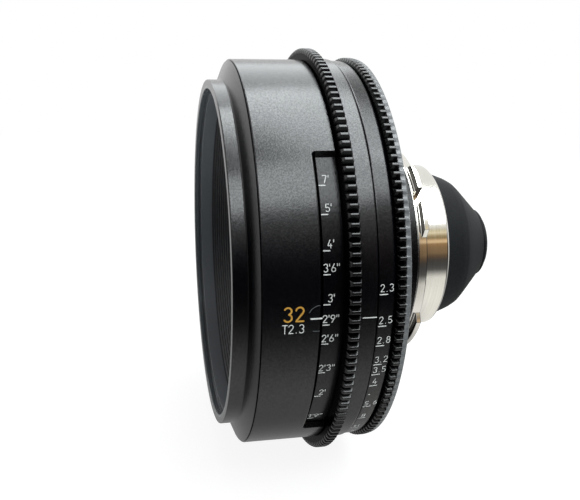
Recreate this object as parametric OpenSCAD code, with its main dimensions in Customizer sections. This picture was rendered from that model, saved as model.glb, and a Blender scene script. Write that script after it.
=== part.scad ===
// Cinema prime lens with a positive-lock mount, in millimetres.
// +X runs along the optical axis to the rear, +Z is up, the index line faces -Y.
// The origin is the centre of the mount's seating face. Focus stands just under 3 ft, iris just under T2.5.

/* [Front ring and sleeve] */
// Diameter of the front ring that takes a clip-on hood
front_d = 110; // [100:0.5:114]
// Length of the front ring's cylinder
ring_len = 4.1; // [3:0.1:6]
// Length of the sloping shoulder behind it
shoulder_len = 2.7; // [1.5:0.1:4]
// Wall of the front ring at its rim
rim_wall = 2.8; // [1.5:0.1:4]
// How far the sleeve stands out from the front ring
sleeve_step = 6.3; // [5:0.1:8]
// Length of the front sleeve
sleeve_len = 21.5; // [20:0.1:30]
// Wall of the sleeve over the distance scale
sleeve_wall = 1.5; // [1:0.1:1.8]
// Length of the scale window in the sleeve
window_len = 6; // [5:0.1:7]
// Half angle of the scale window
window_half = 41.7; // [20:0.1:60]
// Corner radius of the scale window
window_r = 0.9; // [0.3:0.1:1.5]

/* [Hood] */
// Length of the plain band between the rim and the first rib
hood_lip = 4.2; // [1:0.1:5]
// Number of light-trap ribs in the hood
hood_ribs = 9; // [6:1:14]
// Depth of one rib
rib_depth = 0.7; // [0.3:0.1:1.2]
// How far the ribbed cone closes in on its way to the flat baffle
hood_close = 7.4; // [5:0.1:12]
// Thickness of the hood's sheet
baffle_t = 1.4; // [1:0.1:2]

/* [Focus ring] */
// Module of both gear rings
gear_module = 0.8; // [0.79:0.005:0.81]
// How far the focus gear's pitch circle stands out from the sleeve
focus_rise = 2.7; // [2.3:0.1:4]
// Width of the focus gear
focus_gear_w = 3.8; // [3:0.1:5]
// Chamfer at the ends of the focus teeth
tooth_chamfer = 0.8; // [0.3:0.1:1]
// Axial travel of the lens block in one turn of the focus ring
focus_lead = 8.5; // [6:0.1:9]
// Turn from here to the near stop
focus_near = 38; // [20:1:40]
// Turn from here to the far stop
focus_far = 54; // [30:1:56]
// Length of the focus hub
hub_len = 12.2; // [11.5:0.1:13]
// Wall of the focus hub and of the iris hub
hub_wall = 4.4; // [3.5:0.1:5]

/* [Iris ring] */
// How far the iris gear's pitch circle lies inside the sleeve's radius
iris_drop = 0.5; // [0:0.1:1]
// Width of the iris scale band
iris_band_w = 5.2; // [4.5:0.1:6]
// How far the band's front edge lies inside the collar
band_drop = 0.6; // [0.2:0.1:1]
// How far the band closes in towards the gear
band_taper = 1.2; // [0.4:0.1:1.6]
// Width of the iris gear
iris_gear_w = 3.2; // [2.8:0.1:4]
// Width of the plain rim behind the iris teeth
iris_rim_w = 1; // [0.6:0.1:1.4]
// Turn from here to the widest stop
iris_open = 5.7; // [2:0.1:8]
// Turn from here to the smallest stop
iris_close = 58.3; // [40:0.1:60]

/* [Index collar and rear barrel] */
// How far the index collar stands out from the sleeve
collar_rise = 0.3; // [0.1:0.1:0.8]
// Length of the index collar
collar_len = 4.8; // [4.2:0.1:6]
// Length of the rear barrel
rear_len = 13; // [12.6:0.1:16]
// How far the rear barrel's front edge stands out from the main barrel
rear_rise = 12; // [8:0.5:13]
// How far the neck stands out from the mount's flange
neck_rise = 0.5; // [0.2:0.1:1.5]
// Length of that neck
neck_len = 3.6; // [3:0.1:4]
// Gap between rings that turn and rings that stand
ring_gap = 0.3; // [0.2:0.05:0.5]

/* [Mount] */
// Diameter of the mount tube
tube_d = 54; // [53.8:0.02:54.2]
// Length of the tube behind the seating face
tube_len = 9.65; // [8:0.05:12]
// Wall of the tube
tube_wall = 1.2; // [1:0.05:1.3]
// Thickness of the flange
flange_t = 2.8; // [2.4:0.1:4]
// Width of the flange round the tube, between its tabs
flange_w = 5.4; // [5:0.1:6]
// How far the four tabs stand out from the flange
tab_w = 2.4; // [1.6:0.1:3.6]
// Thickness of a tab
tab_t = 1.6; // [1.2:0.1:2.2]
// Angle that one tab covers
tab_angle = 45; // [30:1:60]
// Turn of the tabs from the index line
tab_turn = 43.5; // [40:0.5:50]
// Width of the index slot in a tab
slot_w = 4.4; // [4:0.1:5]
// Turn of the slot from the middle of its tab
slot_turn = 0; // [-8:0.5:8]
// How far the locating slot cuts into the flange below the tab
slot_in = 3; // [0:0.1:3.5]
// Length of the slope at each end of a tab
tab_bevel = 2; // [0.5:0.1:3]
// Thickness of the shim under the flange
shim_t = 0.3; // [0.1:0.05:0.6]

/* [Chassis] */
// Depth from the sleeve's outside to the bore in which the lens block slides
slide_depth = 21.3; // [20.8:0.1:22]
// Wall of the main barrel
chassis_wall = 4; // [3.5:0.1:4.2]
// Thickness of the main barrel's front flange
front_flange_t = 2.4; // [1.8:0.1:3]
// Thickness of a thrust ring
thrust_t = 0.6; // [0.4:0.1:0.8]
// Radial clearance of a turning or sliding fit
run_fit = 0.05; // [0.03:0.01:0.08]

/* [Lens block] */
// Radius of the cam rollers
roller_r = 2.5; // [2:0.1:2.8]
// Wall of the lens housing
house_wall = 10; // [9.5:0.1:11]
// How far the front cell's nose lies inside the housing's bore
nose_step = 5.5; // [4.5:0.1:6]
// Length of the nose in front of the cell's collar
nose_len = 3.2; // [3:0.1:5]
// Thickness of the flanges that hold the cells
cell_flange_t = 1.4; // [1:0.1:1.6]
// Clearance between the rear cell and the bore of the mount tube
tube_clear = 0.5; // [0.3:0.05:1]
// Length of the rear cell's shallow cone
shallow_len = 8.35; // [6:0.05:10]
// How far the shallow cone closes in
shallow_close = 4.1; // [3:0.1:6]
// Length of the steep cone
steep_len = 10.4; // [9:0.1:12]
// How far the steep cone closes in
steep_close = 9.6; // [8:0.1:10.5]
// Length of the ring that closes the rear cell
rear_ring_len = 2.1; // [1.5:0.1:3]
// How far that ring's end face lies inside the steep cone's end
tip_close = 2; // [1:0.1:2.4]

/* [Glass] */
// Wall of the front cell's nose round the front element
nose_wall = 2.5; // [2:0.1:4]
// Radius of the pair in front of the iris
front_pair_r = 15; // [13:0.1:16]
// Radius of the pair behind the iris
rear_pair_r = 13; // [12:0.1:14]
// Wall of the rear cell round the rear element
tip_wall = 1.4; // [1:0.1:2]

/* [Iris] */
// Number of iris blades
blades = 8; // [8:1:8]
// Radius of the open stop
stop_r = 8; // [7:0.1:8.2]
// Radius of the closed stop
stop_min_r = 0.84; // [0.7:0.01:2]
// Radius of the circle of blade posts
post_ring_r = 15; // [14.8:0.1:15.5]
// Radius of a post
post_r = 0.7; // [0.5:0.05:0.8]
// How far the open blades' outer edge lies inside the circle of posts
blade_in = 1.1; // [1:0.1:1.6]
// Angle that a blade covers
blade_span = 112; // [100:1:125]
// Thickness of a blade
blade_t = 0.1; // [0.06:0.01:0.12]
// Distance from one blade's layer to the next
layer = 0.2; // [0.16:0.01:0.25]
// Length of a blade's drive arm, as a share of the circle of posts
arm_share = 0.467; // [0.44:0.005:0.49]
// Radius of a drive stud
stud_r = 0.45; // [0.4:0.05:0.5]
// Radius of the pin that turns the iris from outside
drive_r = 1.5; // [1.2:0.1:1.6]

/* [Hidden] */
$fn = 96;

// Mount
tube_r = tube_d / 2;
flange_r = tube_r + flange_w;
tab_r = flange_r + tab_w;
neck_r = flange_r + neck_rise;
rear_cell_r = tube_r - tube_wall - tube_clear;
rear_bore_clear = 0.9;
rear_bore_r = rear_cell_r + rear_bore_clear;
shallow_r = rear_cell_r - shallow_close;
steep_r = shallow_r - steep_close;
rear_ring_r = steep_r - tip_close;
rear_glass_r = steep_r - tip_wall;

// Places along the axis, from the mount's seating face forwards
x_flange = -flange_t;
x_shim = x_flange - shim_t;
x_rear = x_shim - rear_len;
x_iris_end = x_rear - ring_gap;
x_iris_gear = x_iris_end - iris_gear_w;
x_band = x_iris_gear - iris_band_w;
x_collar_end = x_band - ring_gap;
x_collar = x_collar_end - collar_len;
x_gear_end = x_collar - ring_gap;
x_gear = x_gear_end - focus_gear_w;
x_sleeve_end = x_gear - ring_gap;
x_sleeve = x_sleeve_end - sleeve_len;
x_shoulder = x_sleeve - shoulder_len;
x_rim = x_shoulder - ring_len;

// Chassis
eps = 0.01;
inside = 0.98;
cement = 0.02;
sleeve_r = front_d / 2 + sleeve_step;
slide_r = sleeve_r - slide_depth;
chassis_r = slide_r + chassis_wall;
hub_r = chassis_r + run_fit;
hub_out_r = hub_r + hub_wall;
web_lip = 0.4;
x_web = x_collar + web_lip;
x_web_end = x_collar_end - web_lip;
x_hub_end = x_web - thrust_t - run_fit;
x_hub = x_hub_end - hub_len;
x_front_flange_end = x_hub - run_fit - thrust_t;
x_front_flange = x_front_flange_end - front_flange_t;
drum_clear = 0.2;
drum_bore_r = sleeve_r - sleeve_wall;
drum_r = drum_bore_r - drum_clear;
drum_wall = 2;
pilot_depth = 3.9;
pilot_r = sleeve_r - pilot_depth;
drum_lap = 0.9;
x_drum_front = x_sleeve_end - window_len - drum_lap;
x_drum_room = x_drum_front - ring_gap;
collar_r = sleeve_r + collar_rise;
collar_wall = 3.8;
web_r = collar_r - collar_wall;
stop_ring_in = 1;
stop_ring_r = (hub_out_r + web_r) / 2 - stop_ring_in;
stop_pin_r = 1.25;
pin_reach = 1.2;
focus_pin_at = 90;
iris_pin_at = 150;
stop_groove = 0.35;

// Focus ring
focus_teeth = round(2 * (sleeve_r + focus_rise) / gear_module);
focus_pitch_r = gear_module * focus_teeth / 2;
focus_tip_r = focus_pitch_r + gear_module;
gear_seat_in = 0.6;
focus_seat_r = drum_r - gear_seat_in;
focus_lip = 0.4;
focus_web_t = 3;
x_focus_web = x_gear + focus_lip;
x_focus_web_end = x_focus_web + focus_web_t;
drum_flange_t = 1.6;
drum_screw_n = 6;
drum_screw_ring = (hub_out_r + drum_r - drum_wall) / 2 + 0.4;
screw_r = 1;
screw_head_r = 1.9;
screw_head_t = 1.2;
screw_fit = 0.03;
driver_len = 2.6;
driver_w = 0.5;
hex_r = 0.8;
groove_depth = pin_reach + 0.4;
drum_screw_in = focus_web_t - groove_depth - 0.4;

// Iris ring
iris_teeth = round(2 * (sleeve_r - iris_drop) / gear_module);
iris_band_r = collar_r - band_drop;
iris_band_end_r = iris_band_r - band_taper;
iris_pitch_r = gear_module * iris_teeth / 2;
iris_tip_r = iris_pitch_r + gear_module;
iris_seat_in = 2.3;
iris_seat_r = iris_band_end_r - iris_seat_in;
iris_web_t = 3;
x_iris_web = x_iris_gear - iris_web_t / 2;
x_iris_web_end = x_iris_gear + iris_web_t / 2;
x_drive = x_iris_gear + iris_gear_w / 5;

// Lens block: it moves back towards the far stop and forward towards the near stop
travel_far = focus_lead * focus_far / 360;
travel_near = focus_lead * focus_near / 360;
end_room = 0.5;
roller_n = 3;
roller_fit = 0.05;
axle_share = 0.6;
cam_fit = 0.15;
x_roller = (x_hub + x_hub_end) / 2;
house_r = slide_r - run_fit * 0.6;
cell_r = slide_r - house_wall;
nose_r = cell_r - nose_step;
front_glass_r = nose_r - nose_wall;
cover_in = 4.7;
cover_r = cell_r - cover_in;
house_in = 1;
x_house = x_front_flange + house_in;
chamber_wall = 2.2;
x_chamber = x_drive - drive_r - travel_far - chamber_wall;
base_t = 1.4;
x_base_end = x_chamber + base_t;
blade_gap = 0.1;
x_blades = x_base_end + blade_gap;
x_rotor = x_blades + blades * layer + blade_gap;
rotor_t = 1.2;
x_cover = x_rotor + rotor_t + 2 * blade_gap;
cover_t = 1.2;
x_cover_end = x_cover + cover_t;
pin_clear = 0.3;
x_lug_end = x_drive + drive_r + travel_near + pin_clear;
lug_clear = 0.5;
x_chamber_end = x_lug_end + lug_clear;
chamber_back = 1.6;
x_house_end = x_chamber_end + chamber_back;
x_rear_flange_end = x_house_end + cell_flange_t;
x_rear_room = x_rear_flange_end + travel_far + end_room;
chamber_depth = 3.5;
chamber_r = cell_r + chamber_depth;

// Iris mechanism, in its own frame: its z runs forwards and closing turns it the positive way
iris_turn = iris_open + iris_close;
blade_turn = 2 * asin((stop_r - stop_min_r) / (2 * post_ring_r));
blade_ratio = blade_turn / iris_turn;
blade_rest = iris_open * blade_ratio;
arm_angle = -92;
stud_fit = 0.06;
rotor_in_r = stop_r + 1;
rotor_out_r = post_ring_r + 6;
blade_r = post_ring_r - blade_in;
arm_len = post_ring_r * arm_share;
drive_end_r = cell_r - 1;
fork_fit = 0.05;

// Optics: a front element, a pair each side of the iris, and a rear element
x_collar_cell = x_house - cell_flange_t;
x_nose = x_collar_cell - nose_len;
front_c1 = 38;
front_c2 = 120;
front_edge = 2;
front_ct = front_edge + sag(front_c1, front_glass_r) - sag(front_c2, front_glass_r);
x_front_glass = x_nose + 1.6;
pair_c1 = 22;
pair_c2 = 80;
pair_c3 = 14;
pair_edge = 1;
pair_ct = pair_edge + sag(pair_c1, front_pair_r) - sag(pair_c2, front_pair_r);
pair_ct2 = 1.8;
pair_hollow_r = 9.6;
x_third_end = x_chamber - 0.6;
x_third = x_third_end - sag(pair_c3, pair_hollow_r) - pair_ct2;
x_second = x_third - cement - pair_ct;
hollow_r = 9.4;
hollow_c = -14;
rear_c2 = -60;
rear_c3 = -24;
x_fourth = x_cover_end + 1.4;
fourth_ct = 1.8;
x_fourth_mid = x_fourth - sag(hollow_c, hollow_r) + fourth_ct;
x_fifth = x_fourth_mid + cement;
fifth_ct = 6;
x_tube_end = tube_len;
x_shallow_end = x_tube_end + shallow_len;
x_steep_end = x_shallow_end + steep_len;
x_tip = x_steep_end + rear_ring_len;
sixth_c1 = 30;
sixth_c2 = -26;
sixth_edge = 1.1;
sixth_ct = sixth_edge + sag(sixth_c1, rear_glass_r) - sag(sixth_c2, rear_glass_r);
x_sixth = x_steep_end - sixth_ct - 1.2;
pair_seat = 1.2;
glass_gap = 0.01;

black = "#2b2c2e";
deep_black = "#18191b";
bronze = "#b9975b";
blued_steel = "#3a3b3d";
brass = "#8d7a4e";
steel = "#c9c8c4";
glass = "#6f8f9a";

// Depth of a spherical surface of curvature radius c at distance r from the axis
function sag(c, r) = c - sign(c) * sqrt(c * c - r * r);
function polar(r, a) = [r * cos(a), r * sin(a)];

// Turns a shape about Z into one about the optical axis
module on_axis() { rotate([0, 90, 0]) children(); }

// Ring turned from a profile of [radius, place along the axis]
module turned(profile) { on_axis() rotate_extrude() polygon(profile); }

// Plain ring between two radii and two places
module ring(r_in, r_out, x0, x1) {
    turned([[r_in, x0], [r_out, x0], [r_out, x1], [r_in, x1]]);
}

// Sector of a ring, its middle at an angle above the index line
module sector(r_in, r_out, x0, x1, half, middle = 0) {
    on_axis() rotate([0, 0, 270 - middle - half]) rotate_extrude(angle = 2 * half)
        polygon([[r_in, x0], [r_out, x0], [r_out, x1], [r_in, x1]]);
}

// Round bar standing out from the axis at an angle above the index line
module spoke(r0, r1, x, radius, angle = 0) {
    rotate([-angle, 0, 0]) translate([x, -r0, 0]) rotate([90, 0, 0]) cylinder(r = radius, h = r1 - r0);
}

// Round bar along the axis at a distance from it
module bar(dist, x0, x1, radius, angle = 0) {
    rotate([-angle, 0, 0]) translate([x0, -dist, 0]) rotate([0, 90, 0]) cylinder(r = radius, h = x1 - x0);
}

// Outline of a gear with straight flanks
pressure_angle = 20;
dedendum = 1.25;
module gear_outline(teeth) {
    pitch_r = gear_module * teeth / 2;
    tip_r = pitch_r + gear_module;
    root_r = pitch_r - dedendum * gear_module;
    half_pitch = 90 / teeth;
    slope = 180 / PI * gear_module * tan(pressure_angle) / pitch_r;
    tooth = [[root_r, -1, dedendum], [tip_r, -1, -1], [tip_r, 1, -1], [root_r, 1, dedendum]];
    polygon([for (i = [0:teeth - 1], k = tooth)
        polar(k[0], 360 * i / teeth + k[1] * (half_pitch + k[2] * slope))]);
}

// Toothed ring from x0 to x1 on a round seat
module toothed_ring(teeth, seat_r, x0, x1) {
    on_axis() translate([0, 0, x0]) difference() {
        linear_extrude(x1 - x0) gear_outline(teeth);
        translate([0, 0, -1]) cylinder(r = seat_r, h = x1 - x0 + 2, $fn = 180);
    }
}

// Glass with spherical faces: front vertex, centre thickness, curvature radii, edge radius and edge ends
module element(x, ct, c1, c2, r, edge0, edge1) {
    on_axis() difference() {
        intersection() {
            translate([0, 0, edge0]) cylinder(r = r, h = edge1 - edge0);
            if (c1 > 0) translate([0, 0, x + c1]) sphere(r = c1);
            if (c2 < 0) translate([0, 0, x + ct + c2]) sphere(r = -c2);
        }
        if (c1 < 0) translate([0, 0, x + c1]) sphere(r = -c1);
        if (c2 > 0) translate([0, 0, x + ct + c2]) sphere(r = c2);
    }
}

// Front ring with the rim, the shoulder and the spigot that screws into the sleeve
rim_land = 1.5;
rim_groove_w = 0.8;
rim_groove_d = 0.5;
hood_seat_in = 0.2;
hood_seat_r = front_d / 2 - rim_wall + hood_seat_in;
spigot_len = 5;
edge_break = 0.25;
module front_ring() {
    rim_r = front_d / 2;
    color(black) turned([
        [rim_r - rim_wall, x_rim], [rim_r - edge_break, x_rim],
        [rim_r, x_rim + edge_break], [rim_r, x_shoulder],
        [sleeve_r - edge_break, x_sleeve - edge_break], [sleeve_r - edge_break, x_sleeve],
        [pilot_r, x_sleeve], [pilot_r, x_sleeve + spigot_len],
        [hood_seat_r, x_sleeve + spigot_len], [hood_seat_r, x_rim + rim_land + rim_groove_w],
        [hood_seat_r + rim_groove_d, x_rim + rim_land + rim_groove_w],
        [hood_seat_r + rim_groove_d, x_rim + rim_land],
        [rim_r - rim_wall, x_rim + rim_land]]);
}

// Ribbed light trap inside the hood, with the flat baffle round the front cell
module hood_baffle() {
    rib_run = 0.85;
    nose_clear = 0.5;
    x0 = x_rim + rim_land + rim_groove_w;
    x_flat = x_nose - ring_gap;
    r0 = hood_seat_r - baffle_t;
    baffle_r = hood_seat_r - hood_close;
    step = (x_flat - x0 - hood_lip) / hood_ribs;
    fall = (r0 - baffle_r) / hood_ribs;
    ribs = [for (i = [0:hood_ribs - 1], k = [0, 1])
        [r0 - fall * (i + k) + k * rib_depth, x0 + hood_lip + step * (i + k * rib_run)]];
    bore_r = nose_r + nose_clear;
    color(deep_black) turned(concat(
        [[hood_seat_r, x_sleeve], [hood_seat_r, x0], [r0, x0]], ribs,
        [[baffle_r, x_flat], [bore_r, x_flat], [bore_r, x_flat + baffle_t],
         [baffle_r + baffle_t, x_flat + baffle_t]]));
}

// Front sleeve with the window over the distance scale
module front_sleeve() {
    color(black) difference() {
        turned([
            [pilot_r, x_sleeve], [sleeve_r - edge_break, x_sleeve], [sleeve_r, x_sleeve + edge_break],
            [sleeve_r, x_sleeve_end - edge_break], [sleeve_r - edge_break, x_sleeve_end],
            [drum_bore_r, x_sleeve_end], [drum_bore_r, x_drum_room], [pilot_r, x_drum_room]]);
        x0 = x_sleeve_end - window_len;
        turn_r = atan(window_r / sleeve_r);
        corner_in_r = drum_bore_r - 1;
        corner_out_r = sleeve_r + 1;
        sector(corner_in_r, corner_out_r, x0 + window_r, x_sleeve_end + 1, window_half);
        sector(corner_in_r, corner_out_r, x0, x0 + window_r + eps, window_half - turn_r);
        for (s = [-1, 1]) rotate([s * (window_half - turn_r), 0, 0])
            translate([x0 + window_r, -corner_in_r, 0]) rotate([90, 0, 0])
                cylinder(r1 = corner_in_r * tan(turn_r) * inside, r2 = corner_out_r * tan(turn_r) * inside,
                    h = corner_out_r - corner_in_r);
    }
}

// Main barrel: slide bore, front flange, middle web, straight roller slots and the iris drive slot
module main_barrel() {
    slot_half = roller_r + roller_fit;
    color(black) difference() {
        turned([
            [slide_r, x_front_flange], [pilot_r - screw_fit, x_front_flange],
            [pilot_r - screw_fit, x_front_flange_end], [chassis_r, x_front_flange_end], [chassis_r, x_web],
            [web_r, x_web], [web_r, x_web_end],
            [chassis_r, x_web_end], [chassis_r, x_rear_room], [slide_r, x_rear_room]]);
        for (i = [0:roller_n - 1]) rotate([360 / roller_n * i, 0, 0]) {
            translate([x_roller - travel_near, -chassis_r - 1, -slot_half])
                cube([travel_near + travel_far, chassis_wall + 3, 2 * slot_half]);
            for (dx = [-travel_near, travel_far])
                spoke(slide_r - 2, chassis_r + 1, x_roller + dx, slot_half);
        }
        drive_slot(slide_r - 1, chassis_r + 1, 0, 0);
        for (angle = [focus_pin_at, iris_pin_at])
            bar(stop_ring_r, x_web - 1, x_web_end + 1, stop_pin_r + screw_fit, angle);
    }
}

// Slot that lets the iris drive pin sweep, with room for the lens block's travel; the pin is at the bottom
drive_at = -90;
module drive_slot(r_in, r_out, ahead, behind) {
    margin = (drive_r + 0.4) / slide_r * 180 / PI;
    half = iris_turn / 2 + margin;
    sector(r_in, r_out, x_drive - drive_r - pin_clear - ahead, x_drive + drive_r + pin_clear + behind, half,
        drive_at - (iris_open - iris_close) / 2);
}

module front_thrust_ring() {
    color(bronze) ring(chassis_r + screw_fit, hub_out_r, x_hub - run_fit - thrust_t, x_hub - run_fit);
}

module rear_thrust_ring() {
    color(bronze) ring(chassis_r + screw_fit, hub_out_r, x_web - thrust_t, x_web);
}

// Collar between the two gears, which carries the index line
module index_collar() {
    color(black) turned([
        [web_r + screw_fit, x_collar], [collar_r - edge_break, x_collar], [collar_r, x_collar + edge_break],
        [collar_r, x_collar_end - edge_break], [collar_r - edge_break, x_collar_end],
        [web_r + screw_fit, x_collar_end]]);
}

// Pins in the middle web that end the turn of the two rings
module focus_stop_pin() {
    color(steel) bar(stop_ring_r, x_focus_web_end - pin_reach, x_web_end, stop_pin_r, focus_pin_at);
}

module iris_stop_pin() {
    color(steel) bar(stop_ring_r, x_web, x_iris_web + pin_reach, stop_pin_r, iris_pin_at);
}

// Groove for a stop pin: the ring turns from -low to +high about the axis
module stop_groove_cut(x0, x1, pin_at, low, high) {
    gap = stop_pin_r + stop_groove;
    margin = gap / stop_ring_r * 180 / PI + 0.5;
    half = (low + high) / 2 + margin;
    sector(stop_ring_r - gap, stop_ring_r + gap, x0, x1, half, pin_at - (low - high) / 2);
}

// Rear barrel behind the iris ring, down to the neck that carries the mount
module rear_barrel() {
    rear_r = chassis_r + rear_rise;
    edge_len = 1.7;
    skin = 1;
    foot = 0.8;
    x_neck = x_shim - neck_len;
    color(deep_black) difference() {
        turned([
            [chassis_r + screw_fit, x_rear], [rear_r, x_rear], [rear_r, x_rear + edge_len],
            [chassis_r + skin, x_rear_room + skin / 5], [neck_r + foot, x_neck - foot],
            [neck_r, x_neck], [neck_r, x_shim], [rear_bore_r, x_shim], [rear_bore_r, x_rear_room],
            [chassis_r + screw_fit, x_rear_room]]);
        mount_screw_holes(x_shim - mount_screw_len - 0.5, x_shim + 1, screw_r);
    }
}

// Screws that hold the mount, heads sunk in the seating face
mount_screw_n = 4;
mount_screw_ring = (tube_r + flange_r) / 2;
mount_head_t = 1.4;
mount_head_sunk = 0.2;
mount_screw_len = 4;
mount_screw_at = tab_turn + 180 / mount_screw_n;
module mount_screw_holes(x0, x1, r) {
    for (i = [0:mount_screw_n - 1])
        bar(mount_screw_ring, x0, x1, r + screw_fit, mount_screw_at + 360 / mount_screw_n * i);
}

module mount_screws() {
    color(steel) for (i = [0:mount_screw_n - 1]) {
        angle = mount_screw_at + 360 / mount_screw_n * i;
        difference() {
            union() {
                bar(mount_screw_ring, x_shim - mount_screw_len, -mount_head_t / 2, screw_r, angle);
                bar(mount_screw_ring, -mount_head_t, -mount_head_sunk, screw_head_r, angle);
            }
            rotate([-angle, 0, 0])
                translate([-mount_head_t / 2, -mount_screw_ring - driver_len / 2, -driver_w / 2])
                cube([mount_head_t, driver_len, driver_w]);
        }
    }
}

module mount_shim() {
    color(steel) difference() {
        ring(rear_bore_r, flange_r - 0.2, x_shim, x_flange);
        mount_screw_holes(x_shim - 1, x_flange + 1, screw_r);
    }
}

// What comes off one end of a tab to leave its slope
module tab_end_cut(angle, side) {
    foot = 0.3;
    long = tab_w + tab_bevel;
    rotate([-angle, 0, 0]) translate([-tab_t - 1, -flange_r - foot, 0])
        rotate([side * atan(tab_bevel / (tab_w - foot)), 0, 0])
            translate([0, -2 * long, side > 0 ? 0 : -long]) cube([tab_t + 2, 2 * long, long]);
}

// Stainless mount: flange with four tabs and the index slots, and the tube
module mount_flange() {
    lead = 0.5;
    color(steel) difference() {
        union() {
            turned([
                [tube_r - tube_wall, x_flange], [flange_r, x_flange], [flange_r, 0], [tube_r, 0],
                [tube_r, tube_len - lead], [tube_r - lead, tube_len], [tube_r - tube_wall, tube_len]]);
            for (i = [0:3]) sector(tube_r + 1, tab_r, -tab_t, 0, tab_angle / 2, tab_turn + 90 * i);
        }
        for (i = [0:3], side = [-1, 1]) tab_end_cut(tab_turn + 90 * i + side * tab_angle / 2, side);
        for (i = [0, 2]) rotate([-(tab_turn + slot_turn + 90 * i), 0, 0])
            translate([x_flange - 1, -tab_r - 2, -slot_w / 2])
                cube([2 - x_flange, tab_r + 2 - flange_r + slot_in, slot_w]);
        mount_screw_holes(x_flange - 1, 1, screw_r);
        mount_screw_holes(-mount_head_t, 1, screw_head_r);
    }
}

// Focus gear, clamped by its lip between the drum and the hub's web
module focus_gear() {
    tip_r = focus_tip_r;
    over = 0.1;
    front_slope = 1.3;
    rear_slope = 0.8;
    color(deep_black) union() {
        intersection() {
            toothed_ring(focus_teeth, focus_seat_r + screw_fit, x_gear, x_gear_end);
            turned([
                [focus_seat_r - 4, x_gear - 1], [tip_r - tooth_chamfer, x_gear - 1],
                [tip_r - tooth_chamfer, x_gear], [tip_r + over, x_gear + tooth_chamfer * front_slope],
                [tip_r + over, x_gear_end - tooth_chamfer * rear_slope],
                [tip_r - tooth_chamfer, x_gear_end], [tip_r - tooth_chamfer, x_gear_end + 1],
                [focus_seat_r - 4, x_gear_end + 1]]);
        }
        ring(focus_seat_r - 1, focus_seat_r + 1, x_gear, x_focus_web);
    }
}

// Drum that carries the distance scale under the window
module focus_scale_drum() {
    color(black) difference() {
        turned([
            [drum_r - drum_wall, x_drum_front], [drum_r, x_drum_front], [drum_r, x_gear],
            [focus_seat_r - 1 - screw_fit, x_gear], [focus_seat_r - 1 - screw_fit, x_focus_web],
            [hub_out_r + 0.6, x_focus_web], [hub_out_r + 0.6, x_focus_web - drum_flange_t],
            [drum_r - drum_wall, x_focus_web - drum_flange_t]]);
        drum_screw_holes(x_focus_web - drum_flange_t - 1, x_focus_web + 1);
    }
}

module drum_screw_holes(x0, x1) {
    for (i = [0:drum_screw_n - 1])
        bar(drum_screw_ring, x0, x1, screw_r + screw_fit, 360 / drum_screw_n * i);
}

module drum_screws() {
    x_head = x_focus_web - drum_flange_t;
    color(steel) for (i = [0:drum_screw_n - 1]) {
        angle = 360 / drum_screw_n * i;
        difference() {
            union() {
                bar(drum_screw_ring, x_head - screw_head_t, x_head, screw_head_r, angle);
                bar(drum_screw_ring, x_head - 0.5, x_focus_web + drum_screw_in, screw_r, angle);
            }
            rotate([-angle, 0, 0]) translate([x_head - screw_head_t - 1, -drum_screw_ring, 0])
                rotate([0, 90, 0]) cylinder(r = hex_r, h = 1 + screw_head_t / 2, $fn = 6);
        }
    }
}

// Hub of the focus ring, with the web for the gear and three helical cam slots cut in short flats
cam_step = 4;
module focus_hub() {
    flat = cam_step / 180 * PI * hub_out_r + 0.6;
    over = (roller_r + cam_fit) / hub_r * 180 / PI;
    sweep = focus_near + focus_far + 2 * over;
    steps = ceil(sweep / cam_step);
    color(black) difference() {
        turned([
            [hub_r, x_hub], [hub_out_r, x_hub], [hub_out_r, x_focus_web], [focus_seat_r, x_focus_web],
            [focus_seat_r, x_focus_web_end], [hub_out_r, x_focus_web_end],
            [hub_out_r, x_hub_end], [hub_r, x_hub_end]]);
        for (i = [0:roller_n - 1], k = [0:steps]) let (t = sweep * k / steps - focus_near - over)
            rotate([360 / roller_n * i - t, 0, 0]) translate([
                x_roller + focus_lead * t / 360 - roller_r - cam_fit, -hub_out_r - 1, -flat / 2])
                cube([2 * (roller_r + cam_fit), hub_wall + 3, flat]);
        x_groove = x_focus_web_end - groove_depth;
        stop_groove_cut(x_groove, x_focus_web_end + 1, focus_pin_at, focus_near, focus_far);
        drum_screw_holes(x_focus_web - 1, x_focus_web + drum_screw_in + 0.2);
    }
}

// Iris ring: hub, web and scale band in one turned piece
module iris_ring() {
    band_edge = 0.2;
    rim_depth = 2.4;
    rim_in_r = iris_seat_r - rim_depth;
    x_hub_front = x_collar_end - web_lip + ring_gap;
    color(black) difference() {
        turned([
            [hub_r, x_hub_front], [hub_out_r, x_hub_front], [hub_out_r, x_iris_web], [rim_in_r, x_iris_web],
            [rim_in_r, x_band], [iris_band_r - edge_break, x_band], [iris_band_r, x_band + edge_break],
            [iris_band_end_r, x_iris_gear - band_edge], [iris_band_end_r - band_edge, x_iris_gear],
            [iris_seat_r, x_iris_gear], [iris_seat_r, x_iris_end],
            [rim_in_r, x_iris_end], [rim_in_r, x_iris_web_end],
            [hub_out_r, x_iris_web_end], [hub_out_r, x_iris_end], [hub_r, x_iris_end]]);
        stop_groove_cut(x_iris_web - 1, x_iris_web + groove_depth, iris_pin_at, iris_close, iris_open);
        spoke(hub_r - 1, hub_out_r + 1, x_drive, drive_r + screw_fit, drive_at);
    }
}

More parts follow.
